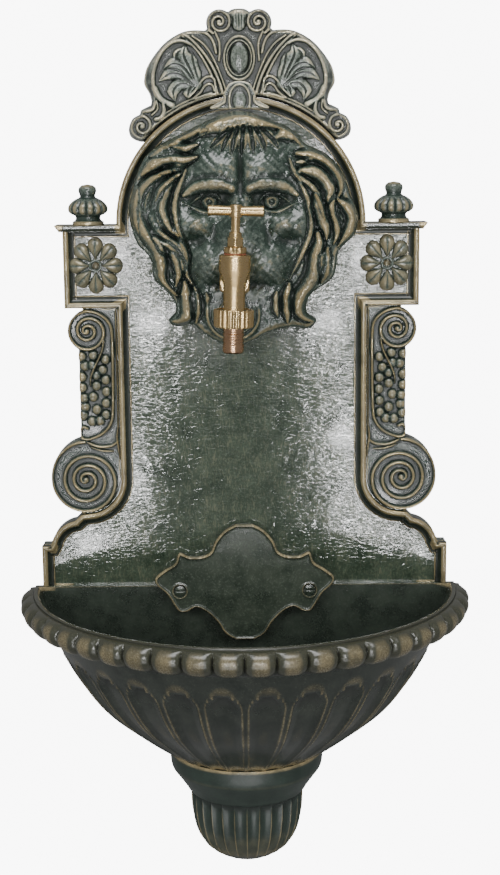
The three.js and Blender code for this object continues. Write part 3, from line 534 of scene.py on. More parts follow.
def add(name, part, look, body="fountain", replaces=(), rounds=8, crease=38.0, scale=1.0,
        bias=0.0, gold=None):
    """Makes a piece. Rounds, scale and bias say how wide and how strong the wear on its edges is,
    and gold how much of it is kept at each place."""
    points, faces = part
    sizes = np.concatenate([np.full(len(f), f.shape[1]) for f in faces])
    corners = np.concatenate([f.ravel() for f in faces]).astype(np.int32)
    starts = np.concatenate([[0], np.cumsum(sizes)[:-1]]).astype(np.int32)
    mesh = bpy.data.meshes.new(name)
    mesh.vertices.add(len(points))
    mesh.vertices.foreach_set("co", (points * MM).astype(np.float32).ravel())
    mesh.loops.add(len(corners))
    mesh.loops.foreach_set("vertex_index", corners)
    mesh.polygons.add(len(sizes))
    mesh.polygons.foreach_set("loop_start", starts)
    mesh.update(calc_edges=True)
    mesh.validate()
    mesh.polygons.foreach_set("use_smooth", np.ones(len(mesh.polygons), bool))
    edges = np.empty(len(mesh.edges) * 2, np.int32)
    mesh.edges.foreach_get("vertices", edges)
    normals = np.empty(len(mesh.vertices) * 3, np.float32)
    mesh.vertex_normals.foreach_get("vector", normals)
    shape = edge_map(points, edges.reshape(-1, 2), normals.reshape(-1, 3), rounds) * scale + bias
    if gold is not None:
        shape = np.where(shape > 0, shape * gold(points), shape)
    layer = mesh.attributes.new("edge", "FLOAT", "POINT")
    layer.data.foreach_set("value", shape.astype(np.float32))
    mesh.set_sharp_from_angle(angle=math.radians(crease))
    mesh.materials.append(looks[look])
    piece = bpy.data.objects.new(name, mesh)
    bpy.context.scene.collection.objects.link(piece)
    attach(piece, body)
    if replaces:
        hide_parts(*replaces)
    return piece


# ---- back plate ----
def scroll_edge(start, end, steps):
    """The outside of the lower scroll, which opens out towards its top."""
    degrees = np.linspace(start, end, steps + 1)
    a = np.radians(degrees)
    r = 29.3 + 6.2 * np.maximum(0, degrees / 84.5) ** 1.5
    return np.stack([135.3 + r * np.cos(a), 93.7 + r * np.sin(a)], 1)


plate_half = chain(
    [150, -60], [150, -2], [174.8, -2], [174.8, 35.8], [168, 35.8],
    arc(141, 31, 26, 27, 12, 80, 16), scroll_edge(-84, 84.5, 48), [138.5, 130], [138.5, 205.5],
    arc(130.8, 221.2, 16.4, 17.5, -56, 78, 30), [134.5, 241], [149, 241], [149, 305.5],
    [151.5, 305.5], [155, 310.5], arc(0, ARCH_Z, ARCH_R, ARCH_R, 0, 89, 60))
hollow_half = chain(
    [145, -55], [145, 3], [163, 3], [163, 30.8], [155, 45], [144, 53], [134, 60],
    arc(135.3, 93.7, 24, 25, -60, 70, 16), [133.5, 128], [133.5, 208],
    arc(130.8, 221.2, 11.5, 12.5, -50, 80, 10), [129.5, 246], [144, 246], [144, 305.5],
    [99, 305.5], arc(0, ARCH_Z, 99, 99, 3, 89, 24))


def plate_front(x, z, d):
    edge = 1.6 * (1 - np.sqrt(np.clip(1 - (1 - np.minimum(d, 1.6) / 1.6) ** 2, 0, 1)))
    return PANEL_Y + edge


def plate_back(x, z, d):
    inside, _ = signed_distance(np.stack([x, z], 1), symmetric(hollow_half))
    ribs = (np.abs(z) < 8) | ((np.abs(z - 155) < 5) & (np.abs(x) < 102))
    return np.where((inside > 0) & ~ribs, -9.0, 0.0)


add("plate_panel", relief(symmetric(plate_half), 1.5, plate_front, plate_back), "panel",
    replaces=("back_plate",), rounds=3)

# The raised moulding: a bead outside, a cove inside and a fine fillet at its foot. Its line is
# the outer edge; the section holds [distance inwards, Y].
moulding_half = chain(
    arc(0, ARCH_Z, ARCH_R, ARCH_R, 90, 0, 90), [149, 310.5], [149, 241], [105, 241], [105, 96],
    arc(134, 94, 29, 30, 186, 258, 24), [140, 63.2],
    arc(141, 31, 26.3, 27.3, 80, 14, 20), [167.5, 35.8], [174.8, 35.8], [174.8, 0.3])
moulding_section = [
    [0.15, -12.5], [0.15, -18.2], [0.6, -19.4], [1.5, -20.0], [2.7, -20.1], [3.9, -19.8], [4.7, -18.9],
    [5.2, -17.2], [6.0, -15.8], [7.4, -15.0], [8.8, -14.7], [9.4, -15.3], [10.0, -15.2], [10.4, -14.4],
    [10.4, -12.5],
]


def swept(line, section):
    """A section carried along a line in the XZ plane, to the right of its direction."""
    line = np.asarray(line, float)
    keep = np.concatenate([[True], ((line[1:] - line[:-1]) ** 2).sum(1) > 1e-6])
    line = line[keep]
    ahead = np.diff(line, axis=0)
    ahead /= np.linalg.norm(ahead, axis=1)[:, None]
    arriving, leaving = chain(ahead[:1], ahead), chain(ahead, ahead[-1:])
    total = np.stack([arriving[:, 1] + leaving[:, 1], -(arriving[:, 0] + leaving[:, 0])], 1)
    total *= (2 / np.maximum((total**2).sum(1), 0.8))[:, None]
    section = np.asarray(section, float)
    x = line[:, :1] + total[:, :1] * section[:, 0]
    z = line[:, 1:] + total[:, 1:] * section[:, 0]
    y = np.broadcast_to(section[:, 1], x.shape)
    return capped(np.stack([x, y, z], 2).reshape(-1, 3), len(section))


def dense(line, step=2.0):
    """Points added along the straight stretches of a line, closer together at its corners."""
    out = [line[0]]
    for a, b in zip(line[:-1], line[1:]):
        count = max(1, int(np.linalg.norm(b - a) / step))
        out += [a + (b - a) * t for t in np.linspace(0, 1, count + 1)[1:]]
    return np.array(out)


whole_moulding = chain((moulding_half * [-1, 1])[::-1], moulding_half[1:])
add("plate_moulding", swept(dense(whole_moulding), moulding_section), "moulding",
    rounds=4, scale=1.0)


def shelf():
    section = rounded([[-1, 310.5], [-24, 310.5], [-24, 307.4], [-22.4, 305.9], [-20, 305.5],
                       [-20, 304.9], [-1, 304.9]], 0.7, 3, True)
    xs = chain(np.array([[101.0]]), np.linspace(103, 150, 18)[:, None], [[152.0]]).ravel()
    rows = []
    for i, x in enumerate(xs):
        flare = 3.0 * smooth(section[:, 1], 305.5, 310.5) if i == len(xs) - 1 else 0.0
        rows.append(np.stack([np.full(len(section), x) + flare, section[:, 0], section[:, 1]], 1))
    return capped(np.concatenate(rows), len(section))


# Brackets: two scrolls, a stem, a bunch of grapes with its tendril, and a small leaf.
bracket_outline = chain(
    [104.7, 96], [104.7, 241.2], [134.5, 241.2],
    arc(130.8, 221.2, 16.4, 17.5, 78, -56, 40), [138.5, 205.5], [138.5, 130],
    scroll_edge(84.5, -84, 60), arc(134, 94, 29.2, 30.2, 258, 188, 24))
UPPER_EYE, LOWER_EYE = (131, 221.5), (135.3, 93.5)      # the middles of the bracket's scrolls
GRAPES = [
    (136, 200), (133, 192), (136, 182.5), (136, 173.5), (134.5, 164.5), (134, 157), (135.5, 149.5),
    (126, 201), (124, 184), (124, 175), (127, 165.5), (124, 154.5), (121.5, 145), (116, 197.5),
    (118.5, 188.5), (116, 180), (115.5, 170), (116, 160), (116.5, 150), (128.5, 144.5), (127, 192.5),
]


def bracket_front(x, z, d):
    lines = Ridges(x, z)
    for gx, gz in GRAPES:
        lines.ball(gx, gz, 4.3, 4.6, 5.0, True)
    lines.line(quarter_spiral(*UPPER_EYE, [17.3, 14.6, 15.4, 14.6, 10.6, 7.4, 7.2, 6.8, 4.4, 2.8, 1.2],
                              90, -1), 3.7, 4.6, per=2)
    lines.line(quarter_spiral(*LOWER_EYE, [34.0, 28.2, 27.4, 25.4, 20.5, 17.4, 18.6, 16.6, 12.4, 9.8,
                                           9.6, 8.6, 5.6, 3.4, 1.5], 90, -1), 4.0, 4.8, per=2)
    lines.ball(*UPPER_EYE, 2.8, 2.8, 5.0, True)
    lines.ball(*LOWER_EYE, 3.3, 3.3, 5.2, True)
    lines.line([(131, 238.8), (121, 236.4), (112.5, 229.5), (109.8, 219), (109.7, 190), (110.6, 153),
                (113, 142), (118.5, 135), (126, 130.8), (133, 129), (138, 131), (139, 135.5),
                (136, 139.6), (132.6, 138.4)], 3.2, 4.8)
    lines.line([(116.8, 213), (118.2, 206), (121, 199), (125.5, 190), (128.5, 182), (129, 175)],
               2.4, 5.8, (0, 0.4))
    lines.line([(134, 127), (124, 122.6), (113, 123), (107, 127)], 3.4, 3.4, (0.3, 0.3))
    lines.line([(131, 122.5), (121, 119), (111, 118.3)], 2.2, 2.6, (0.5, 0.5))
    lines.line([(106.6, 139), (107.6, 130), (106.4, 120), (105.6, 112)], 2.2, 3.2, (0.4, 0.4))
    lines.line([(106.4, 238), (106.4, 140)], 1.2, 1.6)
    edge = 2.6 * np.maximum(0, 1 - d / 1.2)
    return -15.0 - lines.height + np.where(d < 1.2, edge, 0)


bracket = relief(bracket_outline, 0.6, bracket_front, lambda x, z, d: PANEL_Y + 1.5)


PETAL_ROWS, PETAL_COLUMNS = 27, 28


def petal(angle):
    """A teardrop petal with a crease along its middle, lying on the panel."""
    u = np.linspace(0, 1, PETAL_ROWS)
    v = np.arange(PETAL_COLUMNS) * 2 * PI / PETAL_COLUMNS
    along = 4.6 + 18.3 * u
    wide = 8.4 * np.sin(PI * u**1.25) ** 0.55 * (0.40 + 0.60 * u)
    tall = 7.4 * np.sin(PI * u**0.9) ** 0.55
    s, c = np.sin(v)[None, :], np.cos(v)[None, :]
    crease = 1 - 0.16 * np.exp(-((c / 0.16) ** 2)) * (s > 0)
    x = np.repeat(along[:, None], PETAL_COLUMNS, 1)
    z = wide[:, None] * c
    y = -tall[:, None] * np.where(s > 0, s * crease, 0.25 * s)
    a = math.radians(angle)
    px, pz = x * math.cos(a) - z * math.sin(a), (x * math.sin(a) + z * math.cos(a)) * 1.04
    points = np.stack([px, y, pz], 2).reshape(-1, 3)
    return outward(weld(points, grid_faces(PETAL_ROWS, PETAL_COLUMNS, False, True)))


ROSETTE_X, ROSETTE_Z = 122, 276.5


def rosette():
    collar = ring([[3.0, -1], [3.0, 3.6], [3.7, 5.3], [4.7, 5.6], [5.6, 4.6], [5.8, -1]], 0.8, 48)
    eye = turned([[0, 2.2], [1.4, 2.0], [2.6, 1.3], [3.2, 0.2], [3.2, -1], [0, -1]], 32)
    disc = turned(rounded([[0, 1.0], [17, 1.0], [18, 0.2], [18, -1], [0, -1]], 0.4), 64)
    flat = [placed(p, ALONG_Y) for p in (collar, eye, disc)]
    flat = [(p * [1, -1, 1], f) for p, f in flat]
    part = merge(*[petal(45 * k) for k in range(8)], *flat)
    return placed(part, None, (ROSETTE_X, PANEL_Y + 0.3, ROSETTE_Z))


right_shelf, right_rosette = shelf(), rosette()
for hand, side in SIDES.items():
    for name, part, look, rounds, scale in (("plate_shelf", right_shelf, "moulding", 2, 2.0),
                                            ("bracket", bracket, "carving", 16, 1.1),
                                            ("rosette", right_rosette, "carving", 24, 0.48)):
        add(f"{name}_{hand}", handed(part, side), look, rounds=rounds, scale=scale)

# ---- lion mask ----
mask_outline = spline([
    (0.7, 402.6), (23, 396), (42.8, 387), (54, 375), (71, 367), (84, 352), (90, 334.7), (97, 317.7),
    (94.5, 302), (81, 288), (76, 266.6), (57, 252), (54, 238), (62.3, 230), (56, 223), (42, 225),
    (23, 220.5), (5.9, 211.5), (-5, 209.8), (-15.9, 210.8), (-30.3, 218.6), (-41.6, 228), (-54.7, 226),
    (-61, 231), (-54.4, 240), (-58.6, 252), (-72.6, 268), (-74.5, 282.4), (-86.3, 297), (-92.5, 319.6),
    (-89.7, 336.7), (-82, 360), (-70.5, 373), (-44.8, 386), (-19, 398.2)], 8, True)

LOCKS = [
    # left of the face, outer to inner
    ([(-58, 354), (-71, 348), (-80.5, 336), (-83, 320), (-80, 308), (-73, 298), (-68, 290), (-66, 278),
      (-65, 266), (-59, 258), (-53, 253)], 11, 7.5),
    ([(-50, 352), (-64, 344), (-72.5, 333), (-74, 322), (-70.5, 312), (-66, 304), (-59, 297),
      (-51, 293), (-47, 286), (-46, 275), (-44, 268), (-40, 262)], 9, 6),
    ([(-55, 348), (-62, 338), (-65.5, 326), (-63, 315), (-57, 307), (-51, 302)], 10, 6.5),
    ([(-44, 356), (-50, 342), (-53.5, 330), (-53.5, 316), (-50.5, 303), (-45, 290), (-42, 276)], 5,
     3.2),
    ([(-71, 301), (-63, 294), (-56, 288), (-52, 280), (-51.5, 271), (-54, 261)], 8, 6),
    ([(-46.5, 264), (-45.5, 253), (-45, 243), (-46.5, 235.5), (-52, 231.5), (-59, 231.5)], 10, 7.5),
    ([(-39, 260), (-37.5, 250), (-37, 240), (-38, 229)], 6.5, 5),
    ([(-29, 255), (-27, 245), (-30, 234)], 5, 3),
    ([(-85, 342), (-88, 329), (-88.5, 316), (-84, 303)], 7, 4),
    # left, above the ear
    ([(-80, 352), (-70, 361), (-58, 365), (-46, 363.5), (-35, 366)], 10, 7.5),
    ([(-73, 367), (-64, 372), (-54, 373.5), (-44, 373), (-34, 376)], 8, 6),
    ([(-66, 353), (-56, 356), (-44, 359)], 6, 4),
    ([(-56, 377), (-47, 384), (-37, 388), (-27, 387)], 11, 7),
    # right of the face
    ([(46, 368), (58, 366.5), (70, 361.5), (79, 351), (82, 340), (79, 331)], 9, 7),
    ([(49, 354), (60, 353.5), (69.5, 347), (73.5, 338), (71, 328)], 11, 7),
    ([(46, 361), (54, 361.5), (63, 359.5)], 5, 3),
    ([(40, 364), (44, 354), (51, 347), (58, 342), (63, 334), (66, 324), (69, 314)], 5, 3.2),
    ([(44, 352), (50, 342), (55, 330), (57.5, 317), (57, 304), (52, 291), (46, 278), (39, 264)], 4.5,
     3),
    ([(61, 334), (64, 324), (67, 314), (70, 306), (70, 298)], 9, 6),
    ([(78, 334), (74.5, 326), (75, 318), (78, 310), (79, 302), (76, 294)], 6, 4.5),
    ([(80, 330), (86.5, 325), (91, 317.5), (90.5, 308), (86.5, 300), (80, 292)], 8.5, 7),
    ([(63, 303), (64, 296), (62, 287), (61, 277), (59, 268), (54.5, 260), (49, 252), (46.5, 243),
      (49, 236), (55, 232), (61, 230)], 11, 7.5),
    ([(71, 291), (69, 281), (69, 271), (66, 262)], 8, 5.5),
    ([(39.5, 262), (37.5, 252), (37.5, 241), (38, 229)], 7.5, 5.5),
    ([(29, 256), (28, 245), (30, 234)], 5, 3),
    ([(31, 382), (39, 385.5), (46, 382.5), (49, 376)], 13, 5),
]
# the parting over the forehead and the locks that fan out below it
CROWN = [(-33, 383), (-22, 390), (-8, 393.5), (5, 396.5), (20, 394), (33, 388.5)]
FAN = [((-9, 388), (-17, 380), (-24, 373)), ((-6, 388), (-11, 379), (-15, 370)),
       ((-2, 389), (-5, 379), (-7, 368)), ((3, 390), (2, 379), (1.5, 367)),
       ((8, 389), (10, 379), (11, 368)), ((13, 388), (18, 379), (21, 370)),
       ((18, 388), (26, 380), (31, 373))]


# How high each swelling is, its place and its reach. They come in pairs: |x| and z are used.
FACE = [
    (7.0, 17, 356, 15, 12),         # forehead
    (-5.0, 0, 350, 3.6, 26),        # its furrow
    (6.5, 0, 320, 13, 27),          # bridge of the nose
    (8.0, 0, 297, 23, 11),          # tip of the nose
    (9.0, 22, 279, 17, 14),         # muzzle
    (-10.5, 26, 328.5, 15, 7.5),    # eye socket
    (-3.5, 11, 331, 5, 8), (-4.0, 26, 336.5, 14, 3.2),
    (7.5, 36, 311.5, 10, 8.5),      # cheek
    (4.5, 49, 310, 6.5, 12), (-3.5, 38, 297, 15, 6), (-2.5, 22, 302, 4, 9),
    (-5.0, 0, 261, 24, 5),          # mouth
    (-4.5, 41, 268, 9, 17),
]
EYE = (25.6, 329.4)
BROW = [(8, 340), (17, 342.6), (28, 342.6), (38, 340), (46, 335)]
LIDS = [[(15, 329), (19.5, 334.2), (27, 336.2), (35, 332.5), (42, 327)],
        [(15, 327), (21.5, 322.2), (30, 321.6), (38, 324.6), (46, 328.4)]]


def lion_face(x, z, u):
    """The lion's features, as a height over the dome of the head."""
    face = sum(height * bump(u, z, *place) for height, *place in FACE)
    # the uneven surface of the sand casting
    face += 0.36 * np.sin(0.55 * x + 1.9 * np.sin(0.21 * z)) * np.sin(0.5 * z + 1.7 * np.sin(0.23 * x))
    face += 0.20 * np.sin(1.15 * x - 1.4 * np.sin(0.4 * z)) * np.sin(1.05 * z + 1.5 * np.sin(0.37 * x))
    parts = Ridges(x, z)
    for side in (-1, 1):
        parts.ball(side * EYE[0], EYE[1], 6.6, 6.2, 6.0)
        iris = np.hypot(x - side * EYE[0], z - EYE[1])
        parts.height += (0.9 * np.exp(-((iris - 3.3) / 0.7) ** 2)
                         - 1.3 * np.exp(-((iris - 1.9) / 0.6) ** 2))
        parts.lock(np.multiply(BROW, [side, 1]), 12, 5.6, 0.1, (0.3, 0.65))
        for lid in LIDS:
            parts.lock(np.multiply(lid, [side, 1]), 2.8, 2.2, 0.2)
        for k in range(2):      # the roots of the whiskers
            parts.ball(side * (30 + 7 * k), 286 - 9 * k, 1.5, 1.5, 0.8)
    return face + parts.height


MASK_BACK, MASK_LIMIT = -14.3, 46.2     # Y of its back, and how far it may stand out of that
HEAD_Z, HEAD_RX, HEAD_RZ = 308, 102, 106
RINGS = (-7, 237)                       # the moulded rings on the chin


def mask_front(x, z, d):
    u = np.abs(x)
    dome = 20 * np.sqrt(np.clip(1 - (x / HEAD_RX) ** 2 - ((z - HEAD_Z) / HEAD_RZ) ** 2, 0, 1))
    rim = 5 + 6 * np.sqrt(np.clip(1 - (1 - np.minimum(d, 7) / 7) ** 2, 0, 1))
    hair = Ridges(x, z)
    for points, width, height in LOCKS:
        hair.lock(points, width, height)
    hair.lock(CROWN, 14, 8.5, 0.15, (0.8, 0.8))
    hair.height += 4.5 * bump(x, z, 3, 381, 27, 8)
    for points in FAN:
        hair.lock(points, 3.4, -1.9, 0.7, (0.1, 0.6))
    strands = 0.16 * np.cos(2.4 * (u + 0.3 * z)) * smooth(np.abs(hair.height), 1.0, 3.0)
    height = rim + dome + lion_face(x, z, u) + (hair.height + strands) * smooth(d, 0.5, 4)
    away = np.hypot(x - RINGS[0], z - RINGS[1])
    chin = smooth(-away, -25, -21)
    rings = rim + dome + 0.9 * (dome - 12) * (away < 13)
    cord = (3.4 * np.exp(-((away - 21.6) / 1.3) ** 2) + 1.6 * np.exp(-((away - 17.2) / 0.8) ** 2)
            + 1.6 * np.exp(-((away - 14.2) / 0.8) ** 2))
    rings += cord * smooth(-z, -246, -236) - 2.5 * (away < 12)
    height = height * (1 - chin) + rings * chin
    over = np.log1p(np.exp(np.clip((MASK_LIMIT - height) / 2.5, -30, 30)))
    return MASK_BACK - (MASK_LIMIT - 2.5 * over)


add("lion_mask_relief", relief(mask_outline, 0.8, mask_front, lambda x, z, d: MASK_BACK), "carving",
    replaces=("lion_mask",), rounds=36, scale=0.6,
    gold=lambda p: smooth(signed_distance(p[:, [0, 2]], mask_outline)[0], 1.0, 5.0))

# ---- crest ----
crest_half = chain(
    arc(0, ARCH_Z, ARCH_R + 0.3, ARCH_R + 0.3, 89, 41, 40),
    spline([(79, 378), (84, 378.4), (90.5, 382), (92.3, 389), (89, 397), (83, 400.5)], 6),
    [82, 404], [79, 405.6], [73.6, 408],
    spline([(73, 411), (74.5, 417), (78.6, 424.5), (78.4, 431), (76, 439), (69, 449.5), (60, 459),
            (48, 466), (38, 468), (28, 467.6)], 6),
    arc(16, 473.5, 11, 11, -22, 122, 30), spline([(8.6, 482.5), (6, 484.2), (3, 484.9), (0.3, 485)], 4))

CREST_LINES = [
    # points, width, height: the big C, the stems, the leaf's frame and the small turns
    ([(40, 456.5), (47, 459), (55, 457.5), (62.5, 451), (68, 441), (70.6, 430), (69.3, 420),
      (64, 411.5), (56, 406.8)], 3.0, 3.6),
    ([(69.5, 421), (64.5, 412.5), (55.5, 407.5)], 5.0, 3.8),
    ([(50, 466), (42, 462.2), (34, 455), (26, 445), (20, 434.5), (15.8, 424), (13.2, 414), (12.4, 409)],
     2.6, 4.0),
    ([(43, 459.5), (35, 452), (29, 443.5), (24.6, 435), (22, 430)], 2.0, 3.2),
    ([(38, 462.5), (30, 457), (23.5, 449), (18.5, 439), (14.5, 429), (11, 419)], 1.8, 3.0),
    ([(46, 462.5), (38, 456), (31.5, 448), (25.5, 438), (20.5, 427), (17.5, 416), (17, 409)], 1.8, 2.8),
    ([(48, 466.6), (38, 467), (30, 466), (24, 462.5), (20.6, 457), (18.6, 449)], 2.2, 3.6),
    ([(19.6, 466), (16.2, 458), (15.8, 450), (16.4, 443)], 2.0, 3.0),
    ([(12.4, 409.5), (20.5, 405.4), (24, 404.2)], 3.0, 4.0),
    ([(20.4, 428.5), (19.3, 419), (20.5, 411)], 2.2, 3.4),
    ([(20, 427), (23, 430), (27.5, 429.6), (31.5, 426), (36, 419.5), (41.5, 414)], 2.2, 3.6),
    ([(20.6, 419), (22, 423), (25, 424.4), (28.6, 422.4), (32, 417.5), (38, 412.8)], 2.0, 3.4),
    ([(19.5, 416), (28, 415.4), (36, 412.6)], 1.8, 3.0),
    ([(79.5, 403.4), (74, 403.2), (70.6, 405.4), (69.6, 410)], 2.8, 3.6),
    ([(69, 396.4), (64.6, 398), (62, 403), (62.6, 409.6)], 3.2, 3.8),
    ([(72, 400), (67.5, 404.5), (67.8, 411)], 1.8, 2.6),
    ([(8.6, 412), (7, 418.5), (3.6, 422.6), (0, 423.8)], 2.2, 3.8),
]
LEAF = [
    ([(35, 424), (40, 436), (45, 447), (44, 454.5)], 12, 4.2),
    ([(36, 424), (44, 436), (53, 440.5), (61, 437)], 9.5, 4.0),
    ([(37, 423), (48, 431.5), (57, 432.5), (65, 427.5)], 8, 3.6),
    ([(38, 423), (48, 424.5), (54, 419), (53, 411.5)], 8.5, 3.8),
    ([(36, 424), (41, 420), (42.5, 412.5)], 7, 3.6),
    ([(33, 427), (37, 440), (38.5, 449)], 6, 2.6),
    ([(47, 452), (51.5, 448.5), (51, 443.5)], 4, 3.2),
]


TOP_EYE, SIDE_EYE, OVAL_Z = (16, 473.3), (80.5, 390.5), 444.8     # middles of the scrolls and the boss


def crest_front(x, z, d):
    u = np.abs(x)
    slope = 2.6 + 6.0 * bump(u, z, 78, 427, 9, 17) + 2.0 * bump(u, z, 88, 385, 8, 8)
    body = 4.5 + 14.9 * smooth(d / slope, -0.35, 1.0)
    lines = Ridges(u, z)
    leaf = Ridges(u, z)
    for points, width, height in LEAF:
        leaf.line(points, 1.25 * width, height, (0.3, 0.8), 8, 0.4)
    lines.height = leaf.height
    for points, width, height in LEAF:      # a vein along each lobe
        rows, gap, along = lines.near(spline(points, 8), 1.6)
        lines.height[rows] -= 0.9 * np.exp(-((gap / 0.7) ** 2)) * smooth(along, 0.0, 0.3)
    for points, width, height in CREST_LINES:
        lines.line(points, 1.25 * width, height)
    lines.line(quarter_spiral(*TOP_EYE, [10.2, 9.4, 9.0, 8.2, 6.2, 5.0, 4.2, 2.8, 1.4], -60, 1), 2.8,
               3.8, per=2)
    lines.line(quarter_spiral(*SIDE_EYE, [9.8, 9.4, 9.0, 8.4, 6.2, 4.6, 3.6, 2.2, 1.0], 200, 1), 3.0,
               3.8, per=2)
    lines.ball(*TOP_EYE, 2.4, 2.4, 4.0, True)
    lines.ball(*SIDE_EYE, 2.2, 2.2, 4.0, True)
    radius = np.hypot(x / 13.2, (z - OVAL_Z) / 18.5)
    frame_ring = (3.9 * np.exp(-((radius - 0.93) / 0.085) ** 2)
                  + 3.0 * np.exp(-((radius - 0.76) / 0.06) ** 2))
    dome = 5.0 * np.sqrt(np.clip(1 - (x / 8.2) ** 2 - ((z - OVAL_Z) / 14.2) ** 2, 0, 1))
    inside = radius < 1.02
    lines.height = np.where(inside, np.maximum(frame_ring, dome) - 0.6 * (radius < 0.7), lines.height)
    bead = np.sqrt(np.clip(1 - (x / 7) ** 2 - ((z - 475.5) / 9.6) ** 2, 0, 1))
    lines.height = np.maximum(lines.height, 4.4 * bead * (1 - 0.12 * np.cos(x * 1.35) ** 2))
    drop = np.sqrt(np.clip(1 - (x / 6.4) ** 2 - ((z - 411.5) / 8.0) ** 2, 0, 1))
    lines.height = np.maximum(lines.height, 3.4 * drop)
    radial = np.hypot(x, z - ARCH_Z)
    border = 3.4 * np.exp(-((radial - 106.1) / 0.8) ** 2) + 2.2 * np.exp(-((radial - 109.2) / 0.7) ** 2)
    lines.height = np.maximum(lines.height, border * (u > 21) * (u < 68))
    lip = smooth(d, 0.0, 1.4)
    return -np.minimum(body + (lines.height - 0.7) * lip, 24.0)


crest_outline = symmetric(crest_half)
crest_body = relief(crest_outline, 0.6, crest_front, lambda x, z, d: -0.6)


def drop_front(x, z, d):
    lines = Ridges(np.abs(x), z)
    lines.line([(7.8, 404), (8.4, 412), (7, 418.5), (3.6, 422.6), (0, 423.8)], 2.2, 1.6)
    lines.line([(12.0, 414), (12.6, 409.4), (19, 405.8), (23, 404.6)], 2.6, 1.6)
    lines.ball(0, 411, 6, 7, 1.8, True)
    return -21.4 - np.minimum(lines.height + 0.6 * smooth(d, 0, 1.2), 2.5)


drop = relief(symmetric([(23.6, 404.2), (24.4, 405.8), (13.6, 411), (13, 417), (9, 424), (4, 426),
                         (0.3, 426.4)]), 0.6, drop_front, lambda x, z, d: -20.35)
add("crest_relief", merge(crest_body, drop), "crest", replaces=("crest",),
    rounds=24, scale=1.1, bias=-0.06)


# ---- finials ----
FINIAL_X = 127.5


def finial():
    foot = [[0, 310.8], [13, 310.8], [13, 313], [11, 314.4], [10.2, 316.2], [10.8, 318]]
    bulb = [[13.4, 319.2], [15.8, 321], [16.6, 323.4], [16.0, 326.2], [13.8, 329], [10.6, 331.4]]
    tip = [[7.2, 333], [6.3, 334.4], [6.9, 336.4], [7.5, 338.8], [6.9, 341.2], [4.6, 343.2],
           [0, 344]]
    profile = chain(foot[:2], foot[2:3], spline(foot[2:] + bulb + tip[:-1], 5)[1:], tip[-1:])

    def ribs(a, r, h):
        swell = smooth(h, 318.6, 320) * smooth(-h, -332, -329)
        return r - 1.5 * swell * (1 - np.abs(np.cos(7 * a)) ** 0.8)

    points, faces = placed(turned(profile, 112, ribs), None, (FINIAL_X, -13, 0))
    points[:, 1] = np.minimum(points[:, 1], -0.3)
    stud = placed(turned(rounded([[0, 294], [1.9, 294], [1.9, 312], [0, 312]], 0.4), 20), None,
                  (FINIAL_X, -4.6, 0))
    return merge((points, faces), stud)


right_finial = finial()
for hand, side in SIDES.items():
    add(f"finial_{hand}_turned", handed(right_finial, side), "carving",
        replaces=(f"finial_{hand}",), rounds=16, scale=1.4)

# ---- basin ----
BASIN_Y, BASIN_BACK = -16.0, -14.3
LOBES, FLUTES, AROUND = 24, 14, 672
ARCHES_Z, ARCHES_TOP = -60.0, -47.0     # where the flutes begin to arch over, and where they close
DRAIN, DRAIN_R = np.array([0.0, -41.5]), 17.1
BOWL_SIDE = spline([(66, -145.8), (84, -134), (109, -114.5), (128, -97), (144, -76), (157.5, -52),
                    (168, -31), (170.5, -25.6)], 7)


ACROSS = 26         # points along the back of a level


def half_ring(radius, back):
    """One level of a D-shaped casting: round the front, then straight across the back."""
    a = np.linspace(0, PI, AROUND + 1)
    r = radius + 0 * a
    across = np.linspace(-1, 1, ACROSS)
    return chain(np.stack([r * np.cos(a), BASIN_Y - r * np.sin(a)], 1),
                 np.stack([across * r[0], np.full(ACROSS, back)], 1))


